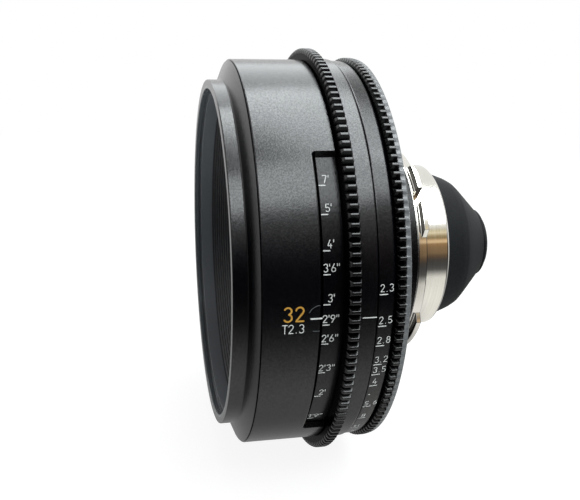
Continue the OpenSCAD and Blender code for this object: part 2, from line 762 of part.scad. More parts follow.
// Iris gear with a plain rim behind its teeth
module iris_gear() {
    tip_r = iris_tip_r;
    root_r = iris_pitch_r - dedendum * gear_module;
    run_out = 0.7;
    rim_drop = 0.1;
    rim_chamfer = 0.6;
    x_rim_start = x_iris_end - iris_rim_w;
    color(deep_black) union() {
        intersection() {
            toothed_ring(iris_teeth, iris_seat_r + screw_fit, x_iris_gear, x_rim_start + 0.2);
            turned([
                [iris_seat_r - 1, x_iris_gear - 1], [tip_r - tooth_chamfer, x_iris_gear - 1],
                [tip_r - tooth_chamfer, x_iris_gear], [tip_r + 0.1, x_iris_gear + tooth_chamfer],
                [tip_r + 0.1, x_iris_end + 1], [iris_seat_r - 1, x_iris_end + 1]]);
        }
        turned([
            [iris_seat_r + screw_fit, x_rim_start - run_out], [root_r, x_rim_start - run_out],
            [tip_r - rim_drop, x_rim_start], [tip_r - rim_drop, x_iris_end - rim_chamfer],
            [tip_r - rim_drop - rim_chamfer, x_iris_end], [iris_seat_r + screw_fit, x_iris_end]]);
    }
}

// Pin that carries the iris ring's turn through the barrel to the rotor's fork
module iris_drive_pin() {
    color(steel) spoke(drive_end_r, hub_out_r - 0.1, x_drive, drive_r, drive_at);
}

// Housing of the lens block: slides in the main barrel and holds both cells and the iris
cell_screw_n = 4;
cell_screw_at = 45;
cell_screw_in = 1.2;
cell_head_t = 0.3;
cell_screw_ring = (chamber_r + house_r) / 2;
module lens_housing() {
    color(black) difference() {
        turned([
            [cell_r, x_house], [house_r, x_house], [house_r, x_house_end], [cell_r, x_house_end],
            [cell_r, x_chamber_end], [chamber_r, x_chamber_end],
            [chamber_r, x_chamber], [cell_r, x_chamber]]);
        for (i = [0:roller_n - 1])
            spoke(cell_r - 1, house_r + 1, x_roller, roller_r * axle_share + screw_fit, 360 / roller_n * i);
        drive_slot(chamber_r - 1, house_r + 1, travel_far, travel_near);
        for (i = [0:cell_screw_n - 1])
            bar(cell_screw_ring, x_house_end - cell_screw_in - 0.1, x_house_end + 1, screw_r + screw_fit,
                cell_screw_at + 360 / cell_screw_n * i);
    }
}

// Rollers that ride in the straight slots and the cam slots
module cam_rollers() {
    color(steel) for (i = [0:roller_n - 1]) {
        spoke(cell_r + 1, house_r + 0.4, x_roller, roller_r * axle_share, 360 / roller_n * i);
        spoke(house_r + 0.3, hub_out_r - 0.3, x_roller, roller_r, 360 / roller_n * i);
    }
}

// Front cell: nose, collar on the housing, seats for the front element and the pair
front_edge1 = x_front_glass + front_ct + sag(front_c2, front_glass_r);
x_pair_seat = x_second + sag(pair_c1, front_pair_r - pair_seat) - glass_gap;
module front_cell() {
    glass_fit = 0.05;
    color(deep_black) turned([
        [front_glass_r + glass_fit, x_nose], [nose_r, x_nose], [nose_r, x_collar_cell],
        [cell_r + 3, x_collar_cell], [cell_r + 3, x_house], [cell_r - screw_fit, x_house],
        [cell_r - screw_fit, x_chamber - 0.1], [front_pair_r + glass_fit, x_chamber - 0.1],
        [front_pair_r + glass_fit, x_pair_seat], [front_pair_r - pair_seat, x_pair_seat],
        [front_pair_r - pair_seat, x_pair_seat - 0.6], [front_glass_r - 1.2, front_edge1 + 0.5],
        [front_glass_r - 1.2, front_edge1], [front_glass_r + glass_fit, front_edge1]]);
}

module front_element() {
    color(glass, 0.5) element(x_front_glass, front_ct, front_c1, front_c2, front_glass_r,
        x_front_glass - 1, front_edge1);
}

module front_retaining_ring() {
    land = 0.9;
    ring_w = 2.2;
    taper = 0.6;
    x1 = x_front_glass + sag(front_c1, front_glass_r - land) - glass_gap;
    color(deep_black) turned([
        [front_glass_r - land, x1], [front_glass_r, x1],
        [front_glass_r, x1 - ring_w], [front_glass_r - land + taper, x1 - ring_w]]);
}

module second_element() {
    edge1 = x_second + pair_ct + sag(pair_c2, front_pair_r);
    color(glass, 0.5) element(x_second, pair_ct, pair_c1, pair_c2, front_pair_r, x_second - 1, edge1);
}

module third_element() {
    color(glass, 0.5) element(x_third, pair_ct2, pair_c2, pair_c3, front_pair_r, x_third - 1,
        x_third_end - 0.9);
}

module pair_retaining_ring() {
    x0 = x_third_end - 0.85;
    color(deep_black) ring(front_pair_r - 2.6, front_pair_r, x0, x_chamber - 0.15);
}

// Iris: base plate with posts, blades in layers, rotor with cam slots, cover
module iris_frame() { rotate([0, -90, 0]) children(); }

module iris_base() {
    color(deep_black) iris_frame() {
        difference() {
            translate([0, 0, -x_base_end]) cylinder(r = chamber_r - screw_fit, h = x_base_end - x_chamber);
            translate([0, 0, -x_base_end - 1]) cylinder(r = stop_r, h = x_base_end - x_chamber + 2);
        }
        for (i = [0:blades - 1]) translate(concat(polar(post_ring_r, 360 / blades * i), -x_rotor + 0.05))
            cylinder(r = post_r, h = x_rotor - x_base_end);
    }
}

// One blade, drawn at its resting turn about its post, in layer i behind the base plate
module iris_blade(i) {
    z = -x_blades - layer * i - blade_t;
    ear_r = post_r + 0.9;
    arm_w = 4 * stud_r * inside;
    ear_len = blade_in + 1.3;
    root_turn = 3;
    color(blued_steel) iris_frame() rotate([0, 0, 360 / blades * i]) translate([post_ring_r, 0, z])
        rotate([0, 0, blade_rest]) {
            difference() {
                union() {
                    translate([-post_ring_r, 0, 0]) rotate([0, 0, -root_turn])
                        rotate_extrude(angle = blade_span + root_turn)
                        translate([stop_r, 0]) square([blade_r - stop_r, blade_t]);
                    translate([-ear_len, -ear_r * inside, 0]) cube([ear_len, 2 * ear_r * inside, blade_t]);
                    cylinder(r = ear_r, h = blade_t);
                    rotate([0, 0, arm_angle]) translate([0, -arm_w / 2, 0]) cube([arm_len, arm_w, blade_t]);
                    translate(concat(polar(arm_len, arm_angle), 0)) cylinder(r = 2 * stud_r, h = blade_t);
                }
                translate([0, 0, -1]) cylinder(r = post_r + run_fit, h = 2);
            }
            stud_len = x_rotor + rotor_t - 0.2 + z;
            translate(concat(polar(arm_len, arm_angle), -stud_len))
                cylinder(r = stud_r, h = stud_len + blade_t / 2);
        }
}

// Place of a drive stud in the rotor's own frame, when the ring has closed by t degrees from open
function stud_at(t) = let (b = t * blade_ratio, p = [post_ring_r, 0] + polar(arm_len, arm_angle + b),
    c = cos(iris_open - t), s = sin(iris_open - t)) [c * p[0] - s * p[1], s * p[0] + c * p[1]];

// Cam slot: the stud's path in the rotor, widened by the stud and its clearance
module cam_slot() {
    width = stud_r + stud_fit;
    steps = 24;
    path = [for (k = [0:steps]) stud_at(iris_turn * k / steps)];
    side = [for (k = [0:steps]) let (d = path[min(k + 1, steps)] - path[max(k - 1, 0)])
        [-d[1], d[0]] / norm(d)];
    polygon(concat([for (k = [0:steps]) path[k] + side[k] * width],
        [for (k = [steps:-1:0]) path[k] - side[k] * width]));
    for (k = [0, steps]) translate(path[k]) circle(r = width + 0.02, $fn = 24);
}

// Rotor: cam plate and the forked lug that the drive pin turns
module iris_rotor() {
    lug_w = drive_r + fork_fit + 1.6;
    lug_in_r = drive_end_r - 3.5;
    lug_out_r = chamber_r - 0.4;
    color(brass) iris_frame() difference() {
        union() {
            translate([0, 0, -x_rotor - rotor_t]) linear_extrude(rotor_t) difference() {
                union() {
                    circle(r = rotor_out_r);
                    rotate(drive_at + 90 + 180) translate([0, -lug_w]) square([lug_in_r + 2, 2 * lug_w]);
                }
                circle(r = rotor_in_r);
                for (i = [0:blades - 1]) rotate(360 / blades * i) cam_slot();
            }
            rotate([0, 0, drive_at + 90 + 180]) intersection() {
                translate([lug_in_r, -lug_w, -x_lug_end]) cube([lug_out_r, 2 * lug_w, x_lug_end - x_rotor]);
                translate([0, 0, -x_lug_end - 1]) cylinder(r = lug_out_r, h = x_lug_end - x_rotor + 2);
            }
        }
        rotate([0, 0, drive_at + 90 + 180])
            translate([drive_end_r - 0.6, -drive_r - fork_fit, -x_lug_end - 1])
            cube([lug_out_r, 2 * (drive_r + fork_fit), x_lug_end - x_rotor + 2]);
    }
}

module iris_cover() {
    boss_r = rotor_in_r - run_fit;
    color(deep_black) turned([
        [stop_r + 0.2, x_rotor + 0.1], [boss_r, x_rotor + 0.1], [boss_r, x_cover], [cover_r, x_cover],
        [cover_r, x_cover_end], [stop_r + 0.2, x_cover_end]]);
}

// Rear cell: holds the rear glass and ends in the cone that shows behind the mount
x_fifth_seat = x_fifth + fifth_ct + sag(rear_c3, rear_pair_r - pair_seat) + glass_gap;
x_sixth_seat = x_sixth + sag(sixth_c1, rear_glass_r - 1) - glass_gap;
module rear_cell() {
    glass_fit = 0.05;
    flange_out_r = house_r - 0.5;
    color(deep_black) difference() {
        turned([
            [rear_pair_r + glass_fit, x_cover_end], [cover_r, x_cover_end], [cover_r, x_chamber_end],
            [cell_r - screw_fit, x_chamber_end], [cell_r - screw_fit, x_house_end],
            [flange_out_r, x_house_end], [flange_out_r, x_rear_flange_end],
            [rear_cell_r, x_rear_flange_end], [rear_cell_r, x_tube_end],
            [shallow_r, x_shallow_end], [steep_r, x_steep_end], [rear_glass_r + glass_fit, x_steep_end],
            [rear_glass_r + glass_fit, x_sixth_seat], [rear_glass_r - 1, x_sixth_seat],
            [rear_glass_r - 1, x_sixth_seat - 2], [rear_pair_r - pair_seat, x_fifth_seat + 2],
            [rear_pair_r - pair_seat, x_fifth_seat], [rear_pair_r + glass_fit, x_fifth_seat]]);
        for (i = [0:cell_screw_n - 1])
            bar(cell_screw_ring, x_house_end - 1, x_rear_flange_end + 1, screw_r + screw_fit,
                cell_screw_at + 360 / cell_screw_n * i);
    }
}

// Screws that hold the rear cell's flange to the housing
module cell_screws() {
    color(steel) for (i = [0:cell_screw_n - 1]) {
        angle = cell_screw_at + 360 / cell_screw_n * i;
        x_under = x_house_end - cell_screw_in;
        bar(cell_screw_ring, x_under, x_rear_flange_end + cell_head_t / 2, screw_r, angle);
        bar(cell_screw_ring, x_rear_flange_end, x_rear_flange_end + cell_head_t, screw_head_r, angle);
    }
}

module fourth_element() {
    color(glass, 0.5) element(x_fourth_mid - fourth_ct, fourth_ct, hollow_c, rear_c2, rear_pair_r, x_fourth,
        x_fourth_mid);
}

module fifth_element() {
    edge0 = x_fifth + sag(rear_c2, rear_pair_r);
    color(glass, 0.5) element(x_fifth, fifth_ct, rear_c2, rear_c3, rear_pair_r, edge0, x_fifth + fifth_ct);
}

module rear_pair_ring() {
    color(deep_black) ring(rear_pair_r - 2.4, rear_pair_r, x_cover_end + 0.1, x_fourth - 0.05);
}

module sixth_element() {
    color(glass, 0.5) element(x_sixth, sixth_ct, sixth_c1, sixth_c2, rear_glass_r, x_sixth,
        x_sixth + sixth_ct);
}

// Ring that closes the rear cell and forms its rounded tip
module rear_retaining_ring() {
    glass_r = rear_glass_r;
    land = 1.2;
    x_land = x_sixth + sixth_ct + sag(sixth_c2, glass_r - land) + glass_gap;
    color(deep_black) turned([
        [glass_r - land, x_land], [glass_r, x_land], [glass_r, x_steep_end + 0.05],
        [steep_r - 0.1, x_steep_end + 0.05], [steep_r - 0.2, x_steep_end + rear_ring_len * 0.4],
        [rear_ring_r + 0.7, x_tip - rear_ring_len * 0.25], [rear_ring_r, x_tip], [glass_r - 1.9, x_tip],
        [glass_r - 1.4, x_steep_end]]);
}

front_ring();
hood_baffle();
front_sleeve();
main_barrel();
front_thrust_ring();
rear_thrust_ring();
index_collar();
focus_stop_pin();
iris_stop_pin();
rear_barrel();
mount_shim();
mount_flange();
mount_screws();
focus_gear();
focus_scale_drum();
focus_hub();
drum_screws();
iris_ring();
iris_gear();
iris_drive_pin();
lens_housing();
cam_rollers();
front_cell();
front_element();
front_retaining_ring();
second_element();
third_element();
pair_retaining_ring();
iris_base();
iris_cover();
rear_cell();
cell_screws();
fourth_element();
fifth_element();
rear_pair_ring();
sixth_element();
rear_retaining_ring();
iris_rotor();
for (i = [1:blades]) iris_blade(i - 1);
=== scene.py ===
import math

import bpy
import numpy as np
from mathutils import Matrix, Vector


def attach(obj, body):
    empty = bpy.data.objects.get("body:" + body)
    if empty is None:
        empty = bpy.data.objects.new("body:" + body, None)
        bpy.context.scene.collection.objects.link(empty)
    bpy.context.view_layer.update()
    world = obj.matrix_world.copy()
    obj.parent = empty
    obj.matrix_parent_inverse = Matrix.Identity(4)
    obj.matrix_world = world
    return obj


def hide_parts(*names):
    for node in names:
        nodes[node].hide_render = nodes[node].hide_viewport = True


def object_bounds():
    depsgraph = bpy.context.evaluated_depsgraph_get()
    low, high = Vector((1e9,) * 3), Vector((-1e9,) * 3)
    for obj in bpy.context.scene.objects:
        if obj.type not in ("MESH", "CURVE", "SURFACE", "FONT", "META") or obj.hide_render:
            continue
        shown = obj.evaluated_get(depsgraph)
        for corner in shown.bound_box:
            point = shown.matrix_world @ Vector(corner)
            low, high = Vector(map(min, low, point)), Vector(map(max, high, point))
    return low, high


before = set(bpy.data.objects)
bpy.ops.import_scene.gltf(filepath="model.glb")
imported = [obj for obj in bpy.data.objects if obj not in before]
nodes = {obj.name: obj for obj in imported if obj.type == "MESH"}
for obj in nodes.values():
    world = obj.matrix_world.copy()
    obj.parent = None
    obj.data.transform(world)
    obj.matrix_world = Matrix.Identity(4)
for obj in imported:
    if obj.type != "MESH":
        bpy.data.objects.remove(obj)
cadLow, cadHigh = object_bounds()
mm = 0.001


# colours and nodes

def linear(hexColour):  # sRGB to linear: c / 12.92 for the darkest, ((c + 0.055) / 1.055) ^ 2.4 for the rest
    srgb = np.array([int(hexColour[k:k + 2], 16) for k in (1, 3, 5)]) / 255
    light = np.where(srgb <= 0.04045, srgb / 12.92, ((srgb + 0.055) / 1.055) ** 2.4)
    return (*light.tolist(), 1.0)


def addNode(tree, kind, settings=None, links=None):
    # one node: its own settings, socket values, ramp stops, links
    node = tree.nodes.new("ShaderNode" + kind)
    for key, value in (settings or {}).items():
        if key == "stops":
            ramp = node.color_ramp.elements
            while len(ramp) < len(value):
                ramp.new(0.5)
            for stop, (place, colour) in zip(ramp, value):
                stop.position = place
                stop.color = colour
        elif isinstance(key, str) and hasattr(node, key):
            setattr(node, key, value)
        else:
            node.inputs[key].default_value = value
    for key, source in (links or {}).items():
        tree.links.new(source, node.inputs[key])
    return node


def newMaterial(name):  # an empty node tree with its output
    material = bpy.data.materials.new(name)
    material.use_nodes = True
    material.node_tree.nodes.clear()
    return material, material.node_tree, addNode(material.node_tree, "OutputMaterial")


grainScale = lambda size: 1 / (size * mm)  # noise cells per metre for a grain of this size in millimetres


def mapRange(tree, source, start, end=(0.0, 1.0)):
    # one range of values carried over to another, held at its ends
    return addNode(tree, "MapRange",
                   {"From Min": start[0], "From Max": start[1], "To Min": end[0], "To Max": end[1]},
                   {"Value": source}).outputs["Result"]


def axisRadius(tree, place):  # distance from the lens axis: the length of (0, y, z)
    across = addNode(tree, "VectorMath", {"operation": "MULTIPLY", 1: (0, 1, 1)}, {0: place})
    return addNode(tree, "VectorMath", {"operation": "LENGTH"}, {0: across.outputs[0]}).outputs["Value"]


blasted = {"hands": 14, "handShare": 0.25, "sheen": (0.35, 0.9), "glint": (0.38, 0.62), "swing": 0.25,
           "depth": 0.03}


def anodisedAluminium(name, finish):
    # bead-blasted, dyed and sealed aluminium: near-black, a broad satin sheen that sparkles a little from the
    # blasted grain, and slightly shinier where hands have polished it
    material, tree, out = newMaterial(name)
    place = addNode(tree, "TexCoord").outputs["Object"]
    grain = addNode(tree, "TexNoise",
                    {"Scale": grainScale(finish["grain"]), "Detail": 2.0, "Roughness": 0.65},
                    {"Vector": place}).outputs["Fac"]
    hands = addNode(tree, "TexNoise", {"Scale": grainScale(blasted["hands"]), "Detail": 3.0},
                    {"Vector": place})
    tone = addNode(tree, "ValToRGB", {"stops": [(0.3, linear(finish["low"])), (0.7, linear(finish["high"]))]},
                   {"Fac": grain}).outputs["Color"]
    sheen = addNode(tree, "Math", {"operation": "MULTIPLY_ADD", 1: blasted["handShare"]},
                    {0: hands.outputs["Fac"], 2: grain})
    roughness = mapRange(tree, sheen.outputs[0], blasted["sheen"], finish["rough"])
    along = addNode(tree, "SeparateXYZ", {}, {0: place}).outputs["X"]
    radius = axisRadius(tree, place)
    if "band" in finish:  # a paler band of painted light on one side of an x, beyond a radius
        near, far, beyond, paintedLightTone = finish["band"]
        edge = mapRange(tree, along, (near * mm, far * mm))
        below = addNode(tree, "Math", {"operation": "LESS_THAN", 1: beyond * mm}, {0: radius})
        outsideLightBand = addNode(tree, "Math", {"operation": "MAXIMUM"}, {0: edge, 1: below.outputs[0]})
        tone = addNode(tree, "Mix", {"data_type": "RGBA", 6: linear(paintedLightTone)},
                       {0: outsideLightBand.outputs[0], 7: tone}).outputs[2]
    if "bore" in finish:  # inside this radius the surface is painted paler too, as painted light
        inside, outside, paintedLightTone = finish["bore"]
        edge = mapRange(tree, radius, (inside * mm, outside * mm))
        tone = addNode(tree, "Mix", {"data_type": "RGBA", 6: linear(paintedLightTone)}, {0: edge, 7: tone}).outputs[2]
    if "worn" in finish:  # the front rim is polished by caps and matte boxes, from one x to another
        near, far, polish = finish["worn"]
        edge = mapRange(tree, along, (near * mm, far * mm), (polish, 1.0))
        roughness = addNode(tree, "Math", {"operation": "MINIMUM"}, {0: roughness, 1: edge}).outputs[0]
    if "paintedToothShade" in finish:  # painted shade: the shine drops in the tooth gaps and on the front face, so the lands shine alone
        root, tip, face, clear, least, front = finish["paintedToothShade"]
        lands = mapRange(tree, radius, (root * mm, tip * mm), (least, 1.0))
        ahead = mapRange(tree, along, (face * mm, clear * mm), (front, finish["gloss"]))
        shine = addNode(tree, "Math", {"operation": "MULTIPLY"}, {0: lands, 1: ahead}).outputs[0]
    else:  # each blasted grain shines a little more or less than the next
        swing = finish["gloss"] * blasted["swing"]
        shine = mapRange(tree, grain, blasted["glint"], (finish["gloss"] - swing, finish["gloss"] + swing))
    bump = addNode(tree, "Bump", {"Strength": finish["bump"], "Distance": blasted["depth"] * mm},
                   {"Height": grain})
    shader = addNode(tree, "BsdfPrincipled", {"IOR": 1.5}, {"Base Color": tone, "Roughness": roughness,
                                                            "Specular IOR Level": shine,
                                                            "Normal": bump.outputs["Normal"]})
    tree.links.new(shader.outputs[0], out.inputs[0])
    return material


turned = {"drawnOut": 12, "cloud": 6, "cloudShare": 0.6, "shine": (0.5, 1.15), "depth": 0.01}


def turnedMetal(name, finish):
    # bare turned metal: the tool leaves fine rings round the axis, so the shine is drawn out along it
    material, tree, out = newMaterial(name)
    place = addNode(tree, "TexCoord").outputs["Object"]
    rings = addNode(tree, "Mapping",
                    {"Scale": (grainScale(finish["ring"]), turned["drawnOut"], turned["drawnOut"])},
                    {"Vector": place})
    lines = addNode(tree, "TexNoise", {"Scale": 1.0, "Detail": 3.0, "Roughness": 0.6},
                    {"Vector": rings.outputs[0]}).outputs["Fac"]
    cloud = addNode(tree, "TexNoise", {"Scale": grainScale(turned["cloud"]), "Detail": 2.0},
                    {"Vector": place})
    tone = addNode(tree, "ValToRGB",
                   {"stops": [(0.25, linear(finish["low"])), (0.75, linear(finish["high"]))]},
                   {"Fac": lines}).outputs["Color"]
    mixed = addNode(tree, "Math", {"operation": "MULTIPLY_ADD", 1: turned["cloudShare"]},
                    {0: cloud.outputs["Fac"], 2: lines})
    roughness = mapRange(tree, mixed.outputs[0], turned["shine"], finish["rough"])
    bump = addNode(tree, "Bump", {"Strength": finish["bump"], "Distance": turned["depth"] * mm},
                   {"Height": lines})
    if "corner" in finish:  # painted shade darkens the step behind the tabs, at this x and beyond this radius
        at, half, beyond, paintedStepShade = finish["corner"]
        along = addNode(tree, "SeparateXYZ", {}, {0: place}).outputs["X"]
        near = addNode(tree, "Math", {"operation": "COMPARE", 1: at * mm, 2: half * mm}, {0: along})
        high = addNode(tree, "Math", {"operation": "GREATER_THAN", 1: beyond * mm},
                       {0: axisRadius(tree, place)})
        both = addNode(tree, "Math", {"operation": "MULTIPLY"}, {0: near.outputs[0], 1: high.outputs[0]})
        tone = addNode(tree, "Mix", {"data_type": "RGBA", 7: linear(paintedStepShade)},
                       {0: both.outputs[0], 6: tone}).outputs[2]
    shader = addNode(tree, "BsdfPrincipled", {"Metallic": 1.0}, {"Base Color": tone, "Roughness": roughness,
                                                                 "Normal": bump.outputs["Normal"]})
    tree.links.new(shader.outputs[0], out.inputs[0])
    return material


coating = {"tint": "#fbfdfc", "index": 1.6, "film": 118.0, "filmIndex": 1.38, "dust": 0.5, "haze": 0.006}


def coatedGlass(name):
    # polished optical glass with a thin anti-reflection coating: clear, with a faint coloured mirror image
    material, tree, out = newMaterial(name)
    place = addNode(tree, "TexCoord")
    dust = addNode(tree, "TexNoise", {"Scale": grainScale(coating["dust"]), "Detail": 4.0},
                   {"Vector": place.outputs["Object"]})
    roughness = mapRange(tree, dust.outputs["Fac"], (0.55, 0.8), (0.0, coating["haze"]))
    shader = addNode(tree, "BsdfPrincipled", {
        "Base Color": linear(coating["tint"]), "IOR": coating["index"], "Transmission Weight": 1.0,
        "Thin Film Thickness": coating["film"],
        "Thin Film IOR": coating["filmIndex"]}, {"Roughness": roughness})
    tree.links.new(shader.outputs[0], out.inputs[0])
    return material


enamel = {"grain": 0.4, "rough": 0.6, "gloss": 0.3}


def fillPaint(name, low, high):
    # enamel rubbed into the engraving: dense, slightly chalky, a little uneven
    material, tree, out = newMaterial(name)
    place = addNode(tree, "TexCoord")
    grain = addNode(tree, "TexNoise", {"Scale": grainScale(enamel["grain"]), "Detail": 2.0},
                    {"Vector": place.outputs["Object"]})
    colour = addNode(tree, "ValToRGB", {"stops": [(0.3, linear(low)), (0.7, linear(high))]},
                     {"Fac": grain.outputs["Fac"]})
    shader = addNode(tree, "BsdfPrincipled",
                     {"Roughness": enamel["rough"], "Specular IOR Level": enamel["gloss"]},
                     {"Base Color": colour.outputs["Color"]})
    tree.links.new(shader.outputs[0], out.inputs[0])
    return material


# grain finer than 0.2 mm doesn't show at this size, so the blasted grain is drawn at about 0.4 mm
satinBlack = anodisedAluminium("bead_blasted_black_anodised_aluminium", {
    "low": "#020204", "high": "#06060a", "grain": 0.42, "rough": (0.17, 0.25), "bump": 0.7, "gloss": 0.5})
# the front ring's bore is painted paler: painted light on its inner wall
rimBlack = anodisedAluminium("bead_blasted_front_ring_with_polished_rim", {
    "low": "#020204", "high": "#06060a", "grain": 0.42, "rough": (0.17, 0.25), "bump": 0.7, "gloss": 0.5,
    "worn": (-62.58, -62.3, 0.12), "bore": (52.95, 53.1, "#565a5e")})
# in both gears the shine drops in the tooth gaps and on the front face: painted shade
focusTooth = anodisedAluminium("hobbed_black_focus_gear", {
    "low": "#020203", "high": "#050506", "grain": 0.5, "rough": (0.2, 0.3), "bump": 0.2, "gloss": 0.55,
    "paintedToothShade": (63.2, 64.1, -33.5, -33.35, 0.03, 0.3)})
# the grey band on the iris gear's rear rim is a painted highlight
irisTooth = anodisedAluminium("hobbed_black_iris_gear", {
    "low": "#020203", "high": "#050506", "grain": 0.5, "rough": (0.2, 0.3), "bump": 0.2, "gloss": 0.55,
    "paintedToothShade": (60.3, 61.1, -19.6, -19.45, 0.03, 0.3), "band": (-17.25, -17.35, 61.2, "#646668")})
# the paler front lip of the light trap is painted light
trapBlack = anodisedAluminium("matt_black_light_trap_paint", {
    "low": "#242528", "high": "#2e2f32", "grain": 0.3, "rough": (0.4, 0.5), "bump": 0.4, "gloss": 0.7,
    "band": (-56.25, -56.0, 0.0, "#62666b")})
coneBlack = anodisedAluminium("matt_black_anodised_rear_cell", {
    "low": "#141618", "high": "#1c1e20", "grain": 0.35, "rough": (0.5, 0.6), "bump": 0.5, "gloss": 0.14})
# a copy of the sleeve's finish with less shine: painted shade where the sleeve shades the drum
shadedDrumBlack = anodisedAluminium("bead_blasted_black_scale_drum_painted_shade", {
    "low": "#020204", "high": "#06060a", "grain": 0.42, "rough": (0.17, 0.25), "bump": 0.7, "gloss": 0.32})
bandBlack = anodisedAluminium("bead_blasted_black_iris_band", {
    "low": "#020204", "high": "#06060a", "grain": 0.42, "rough": (0.17, 0.25), "bump": 0.7, "gloss": 0.42})
neckBlack = anodisedAluminium("black_anodised_rear_barrel", {
    "low": "#020203", "high": "#060608", "grain": 0.42, "rough": (0.24, 0.34), "bump": 0.6, "gloss": 0.22})
innerBlack = anodisedAluminium("black_anodised_inner_work", {
    "low": "#0a0a0c", "high": "#111113", "grain": 0.4, "rough": (0.42, 0.55), "bump": 0.3, "gloss": 0.5})
# the dark tone on the step behind the tabs is painted shade
mountSteel = turnedMetal("turned_stainless_steel", {
    "low": "#dcd9d2", "high": "#efede7", "ring": 0.22, "rough": (0.07, 0.14), "bump": 0.08,
    "corner": (-1.6, 0.12, 32.6, "#3e3b32")})
pinSteel = turnedMetal("ground_pin_steel", {
    "low": "#a9a8a4", "high": "#c4c3bf", "ring": 0.3, "rough": (0.2, 0.32), "bump": 0.1})
bladeSteel = turnedMetal("blackened_spring_steel", {
    "low": "#2b2c2e", "high": "#3a3b3e", "ring": 0.6, "rough": (0.38, 0.5), "bump": 0.08})
thrustBronze = turnedMetal("turned_bearing_bronze", {
    "low": "#a9783c", "high": "#c4955a", "ring": 0.3, "rough": (0.25, 0.38), "bump": 0.12})
lensGlass = coatedGlass("coated_optical_glass")
whiteFill = fillPaint("white_engraving_enamel", "#c3c4c2", "#dddedc")
amberFill = fillPaint("amber_engraving_enamel", "#b07f2a", "#c0913a")
greyFill = fillPaint("worn_grey_engraving", "#3a3d40", "#565a5e")
print("materials: %d" % len(bpy.data.materials))


# surfaces

edgeShare, flatShare = 0.3, 0.4  # most of an edge that a corner takes, and how far beyond it the flat is held
sharpAngle = 52  # faces that turn by more degrees than this meet in a sharp edge


def roundCorners(points, radius, steps=3):
    # each corner of a closed outline becomes a quadratic curve between two points on its edges, one radius
    # from the corner, with one more point beyond each end so that the flats stay flat under smooth shading
    points = np.asarray(points, float)
    before, after = np.roll(points, 1, 0) - points, np.roll(points, -1, 0) - points
    lengthIn = np.linalg.norm(before, axis=-1, keepdims=True)
    lengthOut = np.linalg.norm(after, axis=-1, keepdims=True)
    reach = np.minimum(radius, edgeShare * np.minimum(lengthIn, lengthOut))
    toward, away = before / np.maximum(lengthIn, 1e-9), after / np.maximum(lengthOut, 1e-9)
    t = np.linspace(0, 1, steps).reshape((1, steps) + (1,) * (points.ndim - 1))
    start, middle, end = (p[:, None] for p in (points + toward * reach, points, points + away * reach))
    curve = (1 - t) ** 2 * start + 2 * t * (1 - t) * middle + t ** 2 * end
    stretch = flatShare * reach[:, None]
    curve = np.concatenate([start + toward[:, None] * stretch, curve, end + away[:, None] * stretch], 1)
    return curve.reshape((-1,) + points.shape[1:])


def gridMesh(places, closed=(True, True)):
    # a rows by columns grid of points joined by four-sided faces, wrapped round where it is closed; turned
    # inside out if its volume, the sum of each face's cone to the origin, comes out negative
    rows, columns = places.shape[:2]
    index = np.arange(rows * columns).reshape(rows, columns)
    a = index if closed[0] else index[:-1]
    b = np.roll(index, -1, 0) if closed[0] else index[1:]
    if not closed[1]:
        quads = np.stack([a[:, :-1], a[:, 1:], b[:, 1:], b[:, :-1]], -1).reshape(-1, 4)
    else:
        quads = np.stack([a, np.roll(a, -1, 1), np.roll(b, -1, 1), b], -1).reshape(-1, 4)
    flat = places.reshape(-1, 3)
    p, q, r, s = (flat[quads[:, k]] for k in range(4))
    if np.einsum("ij,ij->i", p, np.cross(q, r)).sum() + np.einsum("ij,ij->i", p, np.cross(r, s)).sum() < 0:
        quads = quads[:, ::-1]
    return flat, quads


def putMesh(name, parts, material):
    # several point and face lists put into one mesh object at the origin, smooth
    offsets = np.cumsum([0] + [len(p) for p, q in parts])
    points = np.concatenate([p for p, q in parts]) * mm
    quads = np.concatenate([q + k for (p, q), k in zip(parts, offsets)])
    mesh = bpy.data.meshes.new(name)
    mesh.vertices.add(len(points))
    mesh.vertices.foreach_set("co", points.astype(np.float32).ravel())
    mesh.loops.add(quads.size)
    mesh.loops.foreach_set("vertex_index", quads.astype(np.int32).ravel())
    mesh.polygons.add(len(quads))
    mesh.polygons.foreach_set("loop_start", np.arange(0, quads.size, 4, dtype=np.int32))
    mesh.polygons.foreach_set("loop_total", np.full(len(quads), 4, np.int32))
    mesh.polygons.foreach_set("use_smooth", np.ones(len(quads), bool))
    mesh.materials.append(material)
    mesh.update()
    mesh.validate()
    mesh.set_sharp_from_angle(angle=math.radians(sharpAngle))
    piece = bpy.data.objects.new(name, mesh)
    bpy.context.scene.collection.objects.link(piece)
    return piece


def turnAbout(section, angles):
    # a section of (radius, x) carried round the x axis: y = -radius cos u, z = radius sin u, so u = 0 is the
    # index side
    u = np.atleast_2d(np.radians(angles))
    radius, x = np.broadcast_arrays(section[..., 0], section[..., 1])
    if radius.ndim == 1:
        radius, x = radius[:, None], x[:, None]
    radius, x, u = np.broadcast_arrays(radius, x, u)
    return np.stack([x, -radius * np.cos(u), radius * np.sin(u)], -1)


def fullTurn(count):  # evenly spaced angles for one whole turn
    return np.arange(count) * 360 / count


def finishPiece(piece, body, slot, *stoodFor):
    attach(piece, body)
    if stoodFor:
        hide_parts(*stoodFor)


def turnedPiece(name, settings, material, body, slot):  # a rounded section carried round the axis
    section = roundCorners(settings["section"], settings["edge"])
    piece = putMesh(name, [gridMesh(turnAbout(section, fullTurn(settings["around"])))], material)
    finishPiece(piece, body, slot, settings["node"])


def cornerRows(angles, *corners):  # corners of a section whose radius or x may change from angle to angle
    same = np.ones_like(angles)
    return np.stack([np.stack([radius * same, x * same], -1) for radius, x in corners])


# standing barrel

